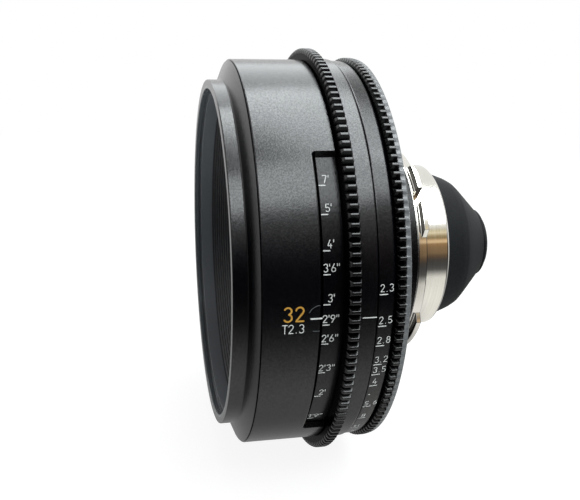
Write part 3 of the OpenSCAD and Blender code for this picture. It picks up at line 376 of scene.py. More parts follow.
frontRing = {"node": "front_ring", "edge": 0.3, "around": 360, "section": [
    (52.2, -62.6), (55, -62.6), (55, -58.5), (60.95, -56.1), (60.75, -55.8), (57.4, -55.8), (57.4, -50.8),
    (52.4, -50.8), (52.4, -60.3), (52.9, -60.3), (52.9, -61.1), (52.2, -61.1)]}
turnedPiece("front_ring_turned", frontRing, rimBlack, "barrel", "black_anodised")

hood = {"ribs": 9, "first": -56.1, "length": 6.8, "drop": 6.0, "radius": 51.0, "depth": 0.7, "share": 0.85}
ribIndex = np.arange(hood["ribs"])
ribStep, ribFall = hood["length"] / hood["ribs"], hood["drop"] / hood["ribs"]
ribCrest = np.stack([hood["radius"] - ribFall * ribIndex, hood["first"] + ribStep * ribIndex], 1)
ribRoot = np.stack([hood["radius"] - ribFall * (ribIndex + 1) + hood["depth"],
                    hood["first"] + ribStep * (ribIndex + hood["share"])], 1)
hoodTrap = {"node": "hood_baffle", "edge": 0.12, "around": 288, "section": np.concatenate([
    [(52.4, -55.8), (52.4, -60.3), (51.0, -60.3)], np.stack([ribCrest, ribRoot], 1).reshape(-1, 2),
    [(45.0, -49.3), (25.0, -49.3), (25.0, -47.9), (46.4, -47.9)]])}
turnedPiece("hood_light_trap", hoodTrap, trapBlack, "barrel", "matte_black")

collar = {"node": "index_collar", "edge": 0.3, "around": 360, "section": [
    (57.83, -29.9), (61.6, -29.9), (61.6, -25.1), (57.83, -25.1)]}
turnedPiece("index_collar_turned", collar, satinBlack, "barrel", "black_anodised")

rearBarrel = {"node": "rear_barrel", "edge": 0.35, "around": 360, "section": [
    (44.03, -16.1), (56, -16.1), (56, -14.4), (45, -10.79), (33.7, -7.5), (32.9, -6.7), (32.9, -3.1),
    (26.2, -3.1), (26.2, -10.99), (44.03, -10.99)]}
turnedPiece("rear_barrel_turned", rearBarrel, neckBlack, "barrel", "black_anodised")

sleeve = {"radius": 61.3, "inner": 57.4, "room": 59.8, "front": -55.8, "rear": -33.85, "roomFront": -41.5,
          "windowFront": -40.5, "windowHalf": 42.3, "corner": 1.25, "draft": 0.9, "draftFade": 2.0,
          "edge": 0.25}


def windowRim(angles):
    # x of the sleeve's rear edge: at the back outside the window, at the window's front edge inside it, and
    # along a quarter circle near each side
    gap = (sleeve["windowHalf"] - np.abs(angles)) * math.pi / 180 * sleeve["radius"]
    inCorner = np.clip(sleeve["corner"] - gap, 0, sleeve["corner"])
    rounded = sleeve["windowFront"] + sleeve["corner"] - np.sqrt(sleeve["corner"] ** 2 - inCorner ** 2)
    return np.where(gap >= 0, rounded, sleeve["rear"])


half = sleeve["windowHalf"]
nearSide = np.concatenate([[-1.2, -0.4, -0.1, -0.02, -0.001], np.linspace(0.0, 1.2, 14), [1.5, 1.9]])
# close together at the window's sides
sleeveAngles = np.unique(np.concatenate([
    half - nearSide, nearSide - half, np.linspace(-half + 2.5, half - 2.5, 81),
    np.linspace(half + 2, 360 - half - 2, 271)]))
signedAngles = np.where(sleeveAngles > 180, sleeveAngles - 360, sleeveAngles)
rim = windowRim(signedAngles)
sleeveSection = roundCorners(cornerRows(
    rim, (sleeve["inner"], sleeve["front"]), (sleeve["radius"], sleeve["front"]), (sleeve["radius"], rim),
    (sleeve["room"], rim), (sleeve["room"], sleeve["roomFront"]), (sleeve["inner"], sleeve["roomFront"])),
    sleeve["edge"])
# the window's end walls lean in with depth by the draft, and the lean fades out beside them
depth = np.clip((sleeve["radius"] - sleeveSection[..., 0]) / (sleeve["radius"] - sleeve["room"]), 0, 1)
beside = np.clip(1 - np.abs(np.abs(signedAngles) - half) / sleeve["draftFade"], 0, 1)
lean = -np.sign(signedAngles) * sleeve["draft"] * beside * depth
sleevePiece = putMesh("front_sleeve_turned", [gridMesh(turnAbout(sleeveSection, sleeveAngles + lean))],
                      satinBlack)
finishPiece(sleevePiece, "barrel", "black_anodised", "front_sleeve")
print("barrel pieces done")


# mount

mount = {"bore": 25.8, "tube": 27.0, "flange": 32.4, "tab": 34.8, "back": -2.8, "tabBack": -1.6, "end": 9.65,
         "tabHalf": 19.0, "tabAt": 43.5, "bevel": 3.5, "slotAt": (43.5, 223.5), "slotHalf": 3.6,
         "slotRamp": 0.3, "slotIn": 3.0, "lead": 0.7, "edge": 0.2, "apart": 0.002}


def arcShare(angles, centre, halfWidth, ramp):
    # 1 inside an arc of this half width, 0 beyond a straight ramp at each of its ends
    away = np.abs((angles - centre + 180) % 360 - 180)
    return np.clip((halfWidth + ramp - away) / ramp, 0, 1)


def arcEnds(centre, halfWidth, ramp):
    # the angles that a ramp's foot and top need, close together on each side
    near = np.array([-0.15, 0, 0.15])
    steps = np.concatenate([near, np.linspace(0.1, 0.9, 7) * ramp, ramp + near])
    return np.concatenate([centre - halfWidth - ramp + (ramp - steps), centre + halfWidth + steps])


tabs = [mount["tabAt"] + 90 * k for k in range(4)]
mountAngles = np.concatenate([arcEnds(c, mount["tabHalf"], mount["bevel"]) for c in tabs]
                             + [arcEnds(c, mount["slotHalf"], mount["slotRamp"]) for c in mount["slotAt"]]
                             + [fullTurn(300)])
mountAngles = np.unique(np.round(mountAngles % 360, 3))
tabShare = sum(arcShare(mountAngles, c, mount["tabHalf"], mount["bevel"]) for c in tabs)
slotShare = sum(arcShare(mountAngles, c, mount["slotHalf"], mount["slotRamp"]) for c in mount["slotAt"])
flangeRadius = mount["flange"] - mount["slotIn"] * slotShare
tabRadius = np.maximum(flangeRadius,
                       flangeRadius + (mount["tab"] - mount["flange"]) * tabShare * (1 - slotShare))
mountSection = roundCorners(cornerRows(
    mountAngles, (mount["bore"], mount["back"]), (flangeRadius, mount["back"]),
    (flangeRadius, mount["tabBack"]), (tabRadius + mount["apart"], mount["tabBack"]), (tabRadius, 0),
    (mount["tube"], 0), (mount["tube"], mount["end"] - mount["lead"]),
    (mount["tube"] - mount["lead"], mount["end"]), (mount["bore"], mount["end"])), mount["edge"])
mountPiece = putMesh("mount_flange_turned", [gridMesh(turnAbout(mountSection, mountAngles))], mountSteel)
finishPiece(mountPiece, "barrel", "mount_steel", "mount_flange")

rearCell = {"node": "rear_cell", "edge": 0.5, "around": 300, "section": [
    (24.0, -14.1), (39.47, -14.16), (39.47, -12.76), (25.3, -12.76), (25.3, 9.65), (24.8, 10.4),
    (22.5, 16.6), (21.3, 18.8), (19.6, 20.6), (11.6, 28.4), (10.25, 28.4), (10.25, 26.0), (9.2, 26.0),
    (12.0, 4.0), (12.0, -10.0), (24.0, -10.0)]}
turnedPiece("rear_cell_turned", rearCell, coneBlack, "lens_block", "matte_black")

tipRing = {"node": "rear_retaining_ring", "edge": 0.25, "around": 200, "section": [
    (9.0, 27.6), (10.2, 27.6), (10.2, 28.45), (11.5, 28.45), (11.4, 29.24), (10.3, 29.975), (9.6, 30.5),
    (8.3, 30.5), (8.8, 28.4)]}
turnedPiece("rear_tip_ring", tipRing, coneBlack, "lens_block", "matte_black")
print("mount and rear cell done")


# focus and iris rings

drum = {"node": "focus_scale_drum", "edge": 0.2, "around": 360, "section": [
    (57.6, -41.2), (59.6, -41.2),
    (59.6, -40.7), (58.4, -40.6), (58.4, -39.58), (59.6, -39.5),  # shadow groove
    (59.6, -33.62), (49.05, -33.62), (49.05, -35.2), (57.6, -35.2)]}
turnedPiece("focus_drum_turned", drum, shadedDrumBlack, "focus", "black_anodised")

irisBand = {"node": "iris_ring", "edge": 0.25, "around": 360, "section": [
    (44.05, -25.2), (48.45, -25.2), (48.45, -21.1),
    (50.45, -21.1), (50.45, -19.5), (53.75, -19.5), (53.75, -21.1),  # groove that clears the stop pin
    (55.1, -21.1), (55.1, -24.8), (61.2, -24.8), (60.9, -20.5), (60.0, -19.6), (57.5, -19.6), (57.5, -16.4),
    (55.1, -16.4), (55.1, -18.1), (48.45, -18.1), (48.45, -16.4), (44.05, -16.4)]}
turnedPiece("iris_band_turned", irisBand, bandBlack, "iris", "black_anodised")


tooth = {"pressureAngle": 20, "foot": 0.1, "toe": 0.06, "toeLift": 0.12, "land": 0.07, "landDrop": 0.04,
         "apart": 0.01}


def toothOutline(gear):
    # one tooth as height against angle: root, straight flank at the pressure angle, land, flank; corners
    # rounded, then the tooth repeated round the pitch circle
    pitch = 2 * math.pi * gear["pitch"] / gear["teeth"]
    slope = math.tan(math.radians(tooth["pressureAngle"]))
    rootHalf = pitch / 4 + (gear["pitch"] - gear["root"]) * slope + gear["full"]
    tipHalf = pitch / 4 - (gear["tip"] - gear["pitch"]) * slope + gear["full"]
    foot, toe, land = tooth["foot"], tooth["toe"], tooth["land"]
    flank = np.array([rootHalf + foot, rootHalf - toe, tipHalf + land, tipHalf, tipHalf - land])
    along = np.concatenate([[-pitch / 2], -flank, [0.0], flank[::-1]])
    height = np.interp(along, (-rootHalf, -tipHalf, tipHalf, rootHalf), (0, 1, 1, 0))
    height[[2, -2]] = tooth["toeLift"]
    height[[4, -4]] -= tooth["landDrop"]
    angles = (np.arange(gear["teeth"])[:, None] * 360 / gear["teeth"]
              + np.degrees(along / gear["pitch"])[None, :])
    lift = gear["tip"] - gear["root"]
    return (angles.ravel(), np.tile(gear["root"] + lift * height, gear["teeth"]),
            np.tile(along / pitch, gear["teeth"]))


def chamferRun(gear, outer, run):  # how far the chamfer cone at a tooth's end has run back at this radius
    return np.clip(outer - gear["tip"] + gear["chamfer"], 0, None) / gear["chamfer"] * run + tooth["apart"]


def gearPiece(name, gear, corners, angles, material, body):
    # a cut gear from the corners of its section at each angle
    section = roundCorners(cornerRows(angles, *corners), gear["edge"], 2)
    piece = putMesh(name, [gridMesh(turnAbout(section, angles))], material)
    finishPiece(piece, body, "gear_black", gear["node"])


focusGear = {"node": "focus_gear", "teeth": 160, "pitch": 64.0, "tip": 64.79, "root": 63.0, "full": 0.08,
             "seat": 59.03, "step": (59.55, 59.6), "front": -33.6, "face": -33.5, "rear": -30.2,
             "chamfer": 0.8, "frontRun": 0.55, "rearRun": 0.45, "edge": 0.12}
angles, outer, share = toothOutline(focusGear)
faceTop = np.minimum(outer, focusGear["tip"] - focusGear["chamfer"])
gearPiece("focus_gear_cut", focusGear, (
    (focusGear["seat"], focusGear["front"]), (focusGear["step"][0], focusGear["front"]),
    (focusGear["step"][1], focusGear["face"]), (faceTop, focusGear["face"]),
    (outer, focusGear["face"] + chamferRun(focusGear, outer, focusGear["frontRun"])),
    (outer, focusGear["rear"] - chamferRun(focusGear, outer, focusGear["rearRun"])),
    (faceTop, focusGear["rear"]), (focusGear["seat"], focusGear["rear"])), angles, focusTooth, "focus")

irisGear = {"node": "iris_gear", "teeth": 152, "pitch": 61.2, "tip": 62.0, "root": 60.2, "full": 0.08,
            "seat": 57.53, "front": -19.6, "rear": -15.8, "chamfer": 0.8, "frontRun": 0.45, "runOut": -17.9,
            "flankShare": 0.22, "arch": 0.5, "rimTop": -17.4, "rimLand": -16.0, "rimRadius": 61.7,
            "rimEdge": 61.3, "edge": 0.1}
angles, outer, share = toothOutline(irisGear)
faceTop = np.minimum(outer, irisGear["tip"] - irisGear["chamfer"])
# 1 at the middle of a gap, 0 at the land
inGap = np.clip(1 - (0.5 - np.abs(share)) / irisGear["flankShare"], 0, 1)
endOfGap = irisGear["runOut"] - irisGear["arch"] * inGap ** 2
rimHeight = np.clip(outer, irisGear["rimRadius"], irisGear["tip"])
gearPiece("iris_gear_cut", irisGear, (
    (irisGear["seat"], irisGear["front"]), (faceTop, irisGear["front"]),
    (outer, irisGear["front"] + chamferRun(irisGear, outer, irisGear["frontRun"])), (outer, endOfGap),
    (rimHeight, irisGear["rimTop"]), (irisGear["rimRadius"], irisGear["rimLand"]),
    (irisGear["rimEdge"], irisGear["rear"]), (irisGear["seat"], irisGear["rear"])), angles, irisTooth, "iris")
print("rings done")


# engraved marks

def arc(cx, cy, radius, start, end, count=14):  # points on a circle from one angle to another, in degrees
    t = np.radians(np.linspace(start, end, count))
    return np.stack([cx + radius * np.cos(t), cy + radius * np.sin(t)], 1)


def bar(*points):  # straight runs through these points
    return np.array(points, float)


glyphs = {  # single-stroke figures of unit height: strokes, then advance
    "0": ([np.concatenate([arc(0.25, 0.75, 0.25, 0, 180), arc(0.25, 0.25, 0.25, 180, 360),
                           bar((0.5, 0.75))])], 0.5),
    "1": ([bar((0.05, 0.78), (0.28, 1), (0.28, 0))], 0.34),
    "2": ([np.concatenate([arc(0.25, 0.75, 0.25, 170, -38), bar((0, 0), (0.5, 0))])], 0.5),
    "3": ([np.concatenate([arc(0.25, 0.76, 0.24, 150, -80), arc(0.25, 0.26, 0.26, 80, -150)])], 0.5),
    "4": ([bar((0.3, 1), (0, 0.28), (0.52, 0.28)), bar((0.38, 0.5), (0.38, 0))], 0.52),
    "5": ([np.concatenate([bar((0.46, 1), (0.06, 1), (0.03, 0.55)), arc(0.25, 0.3, 0.27, 115, -140)])], 0.5),
    "6": ([arc(0.26, 0.27, 0.26, 0, 360, 24), bar((0.03, 0.4), (0.36, 1))], 0.52),
    "7": ([bar((0, 1), (0.5, 1), (0.16, 0))], 0.48),
    "8": ([arc(0.26, 0.76, 0.22, 0, 360, 22), arc(0.26, 0.27, 0.26, 0, 360, 24)], 0.52),
    "9": ([arc(0.26, 0.73, 0.26, 0, 360, 24), bar((0.49, 0.6), (0.16, 0))], 0.52),
    "T": ([bar((0, 1), (0.52, 1)), bar((0.26, 1), (0.26, 0))], 0.5),
    ".": ([bar((0.13, 0.03), (0.17, 0.03))], 0.3),
    "'": ([bar((0.06, 1), (0.06, 0.74))], 0.12),
    '"': ([bar((0.06, 1), (0.06, 0.74)), bar((0.3, 1), (0.3, 0.74))], 0.36),
    "o": ([arc(0.3, 0.4, 0.3, 0, 360, 24), arc(0.9, 0.4, 0.3, 0, 360, 24)], 1.2),
}


def inkRibbon(path, width, surface, lift=0.02, sink=0.03):
    # a flat ribbon along the path, half a width longer at both ends where it narrows as a half circle; its
    # section of two top and two bottom corners is laid on the surface, which turns (along x, along the turn)
    # into a place
    run = np.concatenate([[0], np.cumsum(np.linalg.norm(np.diff(path, axis=0), axis=1))])
    s = np.unique(np.concatenate([run, np.linspace(0, run[-1], max(3, int(run[-1] / (1.2 * width)) + 2))]))
    line = np.stack([np.interp(s, run, path[:, 0]), np.interp(s, run, path[:, 1])], 1)
    tangent = np.gradient(line, axis=0)
    tangent /= np.maximum(np.linalg.norm(tangent, axis=1, keepdims=True), 1e-9)
    cap = np.sin(np.radians([90, 60, 30]))
    head = line[0] - tangent[0] * (width / 2 * cap)[:, None]
    tail = line[-1] + tangent[-1] * (width / 2 * cap[::-1])[:, None]
    spread = np.concatenate([np.cos(np.radians([89, 60, 30])), np.ones(len(line)),
                             np.cos(np.radians([30, 60, 89]))])
    line = np.concatenate([head, line, tail])
    tangent = np.concatenate([np.repeat(tangent[:1], 3, 0), tangent, np.repeat(tangent[-1:], 3, 0)])
    side = np.stack([-tangent[:, 1], tangent[:, 0]], 1) * (width / 2 * spread)[:, None]
    places = np.stack([surface(line + side, -sink), surface(line + side, lift), surface(line - side, lift),
                       surface(line - side, -sink)], 1)
    flat, quads = gridMesh(places, (False, True))
    caps = np.array([[0, 1, 2, 3], [len(flat) - 1, len(flat) - 2, len(flat) - 3, len(flat) - 4]])
    return flat, np.concatenate([quads, caps])


def onTurned(x0, angle, radiusAt):
    # text x runs along the axis from x0, text y runs round from the angle, both measured on the surface
    def surface(points, lift):
        x = x0 + points[:, 0]
        radius = radiusAt(x)
        u = np.radians(angle) + points[:, 1] / radius
        return np.stack([x, -(radius + lift) * np.cos(u), (radius + lift) * np.sin(u)], 1)
    return surface


def inkText(text, height, stroke, surface, gap=0.2, wide=1.0):
    # glyph strokes side by side, scaled to the height
    ribbons, pen = [], 0.0
    for sign in text:
        strokes, advance = glyphs[sign]
        ribbons += [inkRibbon((path * (wide, 1) + (pen, 0)) * height, stroke, surface) for path in strokes]
        pen += advance * wide + gap
    return ribbons


def inkLine(length, stroke, surface):
    return inkRibbon(bar((0, 0), (length, 0)), stroke, surface)


focusMarks = {"radius": 59.6, "line": (-39.24, 1.66), "lineWidth": 0.31, "text": -39.28, "inset": 1.24,
              "height": 2.05, "stroke": 0.24, "lift": 0.72, "marks": (
                  ("o", 54.0), ("20'", 50.3), ("10'", 45.9), ("7'", 33.5), ("5'", 25.9), ("4'", 16.8),
                  ("3'6\"", 10.8), ("3'", 3.05), ("2'9\"", -2.45), ("2'6\"", -7.95), ("2'3\"", -17.3),
                  ("2'", -26.6), ("1'9\"", -38.9))}
onDrum = lambda x: np.full_like(x, focusMarks["radius"])
ribbons = []
for text, angle in focusMarks["marks"]:
    ribbons.append(inkLine(focusMarks["line"][1], focusMarks["lineWidth"],
                           onTurned(focusMarks["line"][0], angle, onDrum)))
    inset = focusMarks["inset"] if len(text) == 2 else 0.0  # one figure stands over the line's right half
    raised = angle + math.degrees(focusMarks["lift"] / focusMarks["radius"])
    ribbons += inkText(text, focusMarks["height"], focusMarks["stroke"],
                       onTurned(focusMarks["text"] + inset, raised, onDrum))
focusScale = putMesh("focus_scale_marks", ribbons, whiteFill)
finishPiece(focusScale, "focus", "black_anodised")

irisMarks = {"line": (-24.48, 2.2), "lineWidth": 0.27, "text": -24.25, "inset": 0.6, "height": 1.95,
             "stroke": 0.19, "lift": 0.75, "gap": 0.25, "radius": 60.5, "dot": (-23.9, -25.6, 0.4),
             "taper": ((-24.8, -20.5), (61.2, 60.9)), "marks": (
                 ("2.3", 5.4), ("2.5", -3.0), ("2.8", -8.6), ("3.2", -14.5), ("3.5", -17.9), ("4", -22.0),
                 ("5.6", -31.3), ("8", -38.2), ("11", -46.5), ("16", -54.0), ("22", -61.0))}
onBand = lambda x: np.interp(x, *irisMarks["taper"])  # the band narrows a little towards its gear
x0, angle, size = irisMarks["dot"]
ribbons = [inkLine(size / 4, size, onTurned(x0, angle, onBand))]
for text, angle in irisMarks["marks"]:
    ribbons.append(inkLine(irisMarks["line"][1], irisMarks["lineWidth"],
                           onTurned(irisMarks["line"][0], angle, onBand)))
    inset = irisMarks["inset"] if len(text) == 1 else 0.0
    raised = angle + math.degrees(irisMarks["lift"] / irisMarks["radius"])
    ribbons += inkText(text, irisMarks["height"], irisMarks["stroke"],
                       onTurned(irisMarks["text"] + inset, raised, onBand), irisMarks["gap"])
irisScale = putMesh("iris_scale_marks", ribbons, whiteFill)
finishPiece(irisScale, "iris", "black_anodised")

indexMarks = {"length": ("32", -50.14, -0.28, 3.82, 0.47, 0.3, 1.05),
              "speed": ("T2.3", -50.47, -3.4, 2.35, 0.22), "index": (-42.95, 0.15, 2.85, 0.42),
              "collar": (-28.98, -0.25, 3.7, 0.28)}
onSleeve = lambda x: np.full_like(x, sleeve["radius"])
onCollar = lambda x: np.full_like(x, collar["section"][1][0])
text, x0, angle, height, stroke, gap, wide = indexMarks["length"]
ribbons = inkText(text, height, stroke, onTurned(x0, angle, onSleeve), gap, wide)
focalMark = putMesh("focal_length_mark", ribbons, amberFill)
finishPiece(focalMark, "barrel", "black_anodised")
text, x0, angle, height, stroke = indexMarks["speed"]
ribbons = inkText(text, height, stroke, onTurned(x0, angle, onSleeve))
for name, surfaceOf in (("index", onSleeve), ("collar", onCollar)):
    x0, angle, length, stroke = indexMarks[name]
    ribbons.append(inkLine(length, stroke, onTurned(x0, angle, surfaceOf)))
indexLines = putMesh("index_marks", ribbons, whiteFill)
finishPiece(indexLines, "barrel", "black_anodised")

depthMarks = {"stroke": 0.22,
              "paths": (((-43.5, 1.9), (-42.9, 2.8), (-42.1, 3.35), (-41.3, 3.7), (-40.75, 3.75)),
                                        ((-42.3, -3.35), (-41.9, -3.4), (-40.6, -3.4)))}
ribbons = [inkRibbon(bar(*path), depthMarks["stroke"], onTurned(0, 0, onSleeve))
           for path in depthMarks["paths"]]
depthHooks = putMesh("depth_of_field_hooks", ribbons, greyFill)
finishPiece(depthHooks, "barrel", "black_anodised")
print("marks done")


# screw heads on the mount

screwHeads = {"ring": 29.7, "first": 88.5, "count": 4, "radius": 1.72, "hole": 1.95, "pin": 0.05,
              "under": -0.3, "proud": 0.03, "gapTop": 0.012, "slotHalf": 1.1, "slotWidth": 0.5, "around": 40,
              "edge": 0.06}
screwAngles = screwHeads["first"] + fullTurn(screwHeads["count"])


def screwRings(inner, outer, top):
    # a ring about each screw's own axis, made at the origin and carried to its place
    section = roundCorners([(inner, screwHeads["under"]), (outer, screwHeads["under"]), (outer, top),
                            (inner, top)],
                           screwHeads["edge"])
    flat, quads = gridMesh(turnAbout(section, fullTurn(screwHeads["around"])))
    u = np.radians(screwAngles)
    centres = screwHeads["ring"] * np.stack([0 * u, -np.cos(u), np.sin(u)], 1)
    return [(flat + centre, quads) for centre in centres]


def onHead(angle):
    # a flat patch on a screw head: text x runs outward from the screw's axis, text y round the lens axis
    u = math.radians(angle)
    outward, sideways = np.array([0, -math.cos(u), math.sin(u)]), np.array([0, -math.sin(u), -math.cos(u)])

    def surface(points, lift):
        flat = outward * (screwHeads["ring"] + points[:, :1]) + sideways * points[:, 1:]
        return flat + np.array([screwHeads["proud"] + lift, 0, 0])
    return surface


heads = putMesh("mount_screw_heads", screwRings(screwHeads["pin"], screwHeads["radius"], screwHeads["proud"]),
                pinSteel)
finishPiece(heads, "barrel", "mount_steel")
# the dark ring round each screw head and the line across it are flat sheets of painted shade, for the gap
# round the head and the slot
slotLine = bar((-screwHeads["slotHalf"], 0), (screwHeads["slotHalf"], 0))
shadows = screwRings(screwHeads["radius"], screwHeads["hole"], screwHeads["gapTop"])
shadows += [inkRibbon(slotLine, screwHeads["slotWidth"], onHead(angle)) for angle in screwAngles]
screwShadeSheets = putMesh("mount_screw_painted_shade", shadows, innerBlack)
finishPiece(screwShadeSheets, "barrel", "mount_steel")
print("screw heads done")


# finishes of the solids that stay as they are

finishes = {
    innerBlack: ("main_barrel", "focus_hub", "lens_housing", "front_cell", "front_retaining_ring",
                 "pair_retaining_ring", "iris_base", "iris_cover", "rear_pair_ring", "iris_rotor"),
    thrustBronze: ("front_thrust_ring", "rear_thrust_ring"),
    pinSteel: ("mount_shim", "focus_stop_pin", "iris_stop_pin", "mount_screws", "drum_screws",
               "iris_drive_pin", "cam_rollers", "cell_screws"),
    bladeSteel: tuple("iris_blade_%d" % k for k in range(1, 9)),
    lensGlass: ("front_element", "second_element", "third_element", "fourth_element", "fifth_element",
                "sixth_element"),
}
for finish, names in finishes.items():
    for name in names:
        nodes[name].data.materials.clear()
        nodes[name].data.materials.append(finish)
print("finishes done")


# camera, floor and light

cameraSetup = {"place": (-89.30, -247.38, 78.95), "yaw": 0.2031, "pitch": -0.0018, "roll": -0.0383,
               "spin": -17.7, "focalPixels": 795.43, "imageWidth": 580, "sensor": 36.0}
yaw, pitch, roll = cameraSetup["yaw"], cameraSetup["pitch"], cameraSetup["roll"]
forward = np.array([math.sin(yaw) * math.cos(pitch), math.cos(yaw) * math.cos(pitch), math.sin(pitch)])
right = np.cross(forward, (0, 0, 1))
right /= np.linalg.norm(right)
up = np.cross(right, forward)
rolledRight = math.cos(roll) * right + math.sin(roll) * up
rolledUp = -math.sin(roll) * right + math.cos(roll) * up
spin = math.radians(cameraSetup["spin"])
turnX = np.array([[1, 0, 0], [0, math.cos(spin), -math.sin(spin)], [0, math.sin(spin), math.cos(spin)]])
axes = np.stack([turnX @ rolledRight, turnX @ rolledUp, -(turnX @ forward)], 1)
cameraData = bpy.data.cameras.new("studio_camera")
cameraData.sensor_fit = "HORIZONTAL"
cameraData.sensor_width = cameraSetup["sensor"]
cameraData.lens = cameraSetup["focalPixels"] * cameraSetup["sensor"] / cameraSetup["imageWidth"]
cameraData.clip_start = 0.01
cameraData.clip_end = 50
camera = bpy.data.objects.new("studio_camera", cameraData)
matrix = np.eye(4)
matrix[:3, :3] = axes
matrix[:3, 3] = np.array(cameraSetup["place"]) * mm
camera.matrix_world = Matrix(matrix.tolist())
bpy.context.scene.collection.objects.link(camera)
bpy.context.scene.camera = camera

floorSetup = {"half": 4.0, "cells": 8, "below": 0.0003, "low": "#f0f0ee", "high": "#f6f6f4", "glow": 0.9,
              "matt": 0.2, "fade": (0.25, 0.7)}
line = np.linspace(-floorSetup["half"], floorSetup["half"], floorSetup["cells"] + 1) / mm
floorX, floorY = np.meshgrid(line, line, indexing="ij")
floorPlaces = np.stack([floorX, floorY, np.full_like(floorX, (cadLow.z - floorSetup["below"]) / mm)], -1)
floorFlat, floorQuads = gridMesh(floorPlaces, (False, False))


def floorPaper():
    # matt white paper sweep: to the camera most of its white is its own and the rest is light that falls on
    # it, so it keeps the soft shadow, and away from the object it fades into the white round it; to other
    # rays it is plain paper
    material, tree, out = newMaterial("white_paper_floor")
    place = addNode(tree, "TexCoord")
    tooth = addNode(tree, "TexNoise", {"Scale": grainScale(1.2), "Detail": 2.0},
                    {"Vector": place.outputs["Object"]})
    colour = addNode(tree, "ValToRGB",
                     {"stops": [(0.3, linear(floorSetup["low"])), (0.7, linear(floorSetup["high"]))]},
                     {"Fac": tooth.outputs["Fac"]})
    thin = addNode(tree, "Mix", {"data_type": "RGBA", 0: 1 - floorSetup["matt"], 7: (0, 0, 0, 1)},
                   {6: colour.outputs["Color"]})
    paper = addNode(tree, "BsdfDiffuse", {}, {"Color": colour.outputs["Color"]})
    thinPaper = addNode(tree, "BsdfDiffuse", {}, {"Color": thin.outputs[2]})
    glow = addNode(tree, "Emission", {"Strength": floorSetup["glow"]})
    lit = addNode(tree, "AddShader", {}, {0: thinPaper.outputs[0], 1: glow.outputs[0]})
    away = addNode(tree, "VectorMath", {"operation": "LENGTH"}, {0: place.outputs["Object"]})
    fade = addNode(tree, "MapRange", {"interpolation_type": "SMOOTHSTEP", "From Min": floorSetup["fade"][0],
                                      "From Max": floorSetup["fade"][1]}, {"Value": away.outputs["Value"]})
    sweep = addNode(tree, "Emission", {"Strength": 1.0})
    shown = addNode(tree, "MixShader", {}, {0: fade.outputs[0], 1: lit.outputs[0], 2: sweep.outputs[0]})
    seen = addNode(tree, "LightPath")
    mixed = addNode(tree, "MixShader", {},
                    {0: seen.outputs["Is Camera Ray"], 1: paper.outputs[0], 2: shown.outputs[0]})
    tree.links.new(mixed.outputs[0], out.inputs[0])
    return material


floor = putMesh("studio_floor", [(floorFlat, floorQuads)], floorPaper())
floor.visible_glossy = False


lamps = {"tint": (0.94, 1.0, 1.02), "aim": (-0.02, 0, 0), "boxes": (  # daylight tubes; place, size and watts
    ("overhead_softbox", (0.25, 0.09, 1.1), (1.1, 0.38), 10.2),
    ("rear_overhead_softbox", (0.07, 1.14, 0.95), (0.76, 0.86), 4.1),
    ("front_softbox", (0.35, -0.67, 1.0), (1.1, 0.52), 10.2))}


def softbox(name, place, size, power):  # a rectangular area lamp that looks at the aim point
    lampData = bpy.data.lights.new(name, "AREA")
    lampData.shape = "RECTANGLE"
    lampData.size, lampData.size_y = size
    lampData.energy = power
    lampData.color = lamps["tint"]
    lamp = bpy.data.objects.new(name, lampData)
    back = np.array(place) - np.array(lamps["aim"])
    back /= np.linalg.norm(back)
    side = np.cross((0, 0, 1), back)
    side /= np.linalg.norm(side)
    matrix = np.eye(4)
    matrix[:3, :3] = np.stack([side, np.cross(back, side), back], 1)
    matrix[:3, 3] = place
    lamp.matrix_world = Matrix(matrix.tolist())
    bpy.context.scene.collection.objects.link(lamp)


for box in lamps["boxes"]:
    softbox(*box)

studio = {
    "ambient": 0.35,
    "front": [(0.0, "#f6f6f6"), (0.08, "#ececec"), (0.18, "#a8a8a8"), (0.27, "#585858"), (0.38, "#2e2e30"),
              (0.5, "#1c1c20"), (0.56, "#26262c"), (0.62, "#4c4d52"), (0.68, "#8e9092"), (0.73, "#d0d0d0"),
              (0.82, "#ffffff")],
    "cards": [(0.0, "#fbfbf5"), (0.26, "#fafaf4"), (0.3, "#b8b8b4"), (0.34, "#5e5e5c"), (0.39, "#505050"),
              (0.45, "#4e4a46"), (0.5, "#6e5a46"), (0.53, "#8c7458"), (0.59, "#967a58"), (0.635, "#a88458"),
              (0.65, "#ffe0b0"), (0.67, "#f0c898"), (0.685, "#98804e"), (0.705, "#947c4c"),
              (0.725, "#c0aa78"), (0.745, "#fff0cc"), (0.765, "#d6c89c"), (0.785, "#d8d4c4"),
              (0.805, "#f0eee6"), (0.83, "#ffffff")],
    "back": [(0.0, "#b0b0b0"), (0.3, "#a4a4a4"), (0.45, "#dcdcdc"), (0.5, "#ffffff")],
    "backCards": [(0.0, "#fbfbf5"), (0.35, "#f2f2ee"), (0.5, "#f4f6f4")],
    "facing": (0.15, -0.35),  # from the back wall to the front, by the y of the mirror direction
    "side": (0.34, 0.36, 0.405, 0.42)}  # the coloured cards stand between these x of the mirror direction
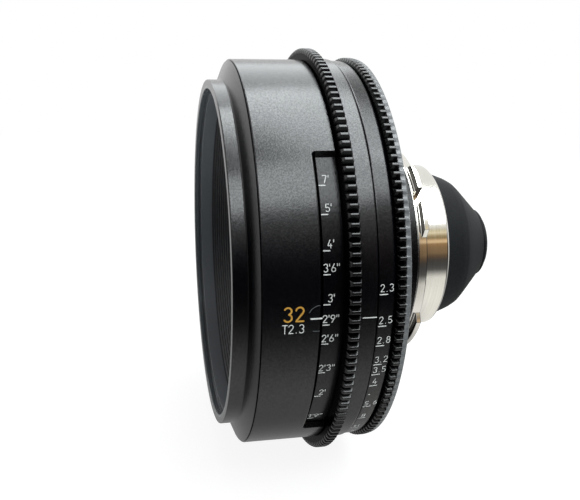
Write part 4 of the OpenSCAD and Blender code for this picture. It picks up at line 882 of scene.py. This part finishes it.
world = bpy.data.worlds.new("white_studio")
world.use_nodes = True
tree = world.node_tree
tree.nodes.clear()
out = addNode(tree, "OutputWorld")
way = addNode(tree, "TexCoord")
split = addNode(tree, "SeparateXYZ", {}, {0: way.outputs["Generated"]})
height = mapRange(tree, split.outputs["Z"], (-1.0, 1.0))
facing = mapRange(tree, split.outputs["Y"], studio["facing"])


def roomSide(front, back):
    # one side of the room: its back wall and its front by height, mixed by the way they face
    ahead, behind = (addNode(tree, "ValToRGB",
                             {"stops": [(place, linear(tone)) for place, tone in studio[key]]},
                             {"Fac": height}) for key in (front, back))
    mixed = addNode(tree, "Mix", {"data_type": "RGBA"},
                    {0: facing, 6: behind.outputs[0], 7: ahead.outputs[0]})
    return mixed.outputs[2]


sideFrom, sideFull, sideFade, sideEnd = studio["side"]
begins = mapRange(tree, split.outputs["X"], (sideFrom, sideFull))
ends = mapRange(tree, split.outputs["X"], (sideEnd, sideFade))
cards = addNode(tree, "Math", {"operation": "MULTIPLY"}, {0: begins, 1: ends})
around = addNode(tree, "Mix", {"data_type": "RGBA"}, {0: cards.outputs[0], 6: roomSide("front", "back"),
                                                      7: roomSide("cards", "backCards")})
rays = addNode(tree, "LightPath")
mirrored = addNode(tree, "Math", {"operation": "MAXIMUM"}, {0: rays.outputs["Is Glossy Ray"],
                                                            1: rays.outputs["Is Transmission Ray"]})
fill = addNode(tree, "Background", {"Strength": studio["ambient"]}, {"Color": around.outputs[2]})
studioRoom = addNode(tree, "Background", {"Strength": 1.0}, {"Color": around.outputs[2]})
white = addNode(tree, "Background", {"Color": (1, 1, 1, 1), "Strength": 1.0})
lit = addNode(tree, "MixShader", {}, {0: mirrored.outputs[0], 1: fill.outputs[0], 2: studioRoom.outputs[0]})
shown = addNode(tree, "MixShader", {},
                {0: rays.outputs["Is Camera Ray"], 1: lit.outputs[0], 2: white.outputs[0]})
tree.links.new(shown.outputs[0], out.inputs[0])
bpy.context.scene.world = world
bpy.context.scene.view_settings.view_transform = "Standard"
print("camera and light done")
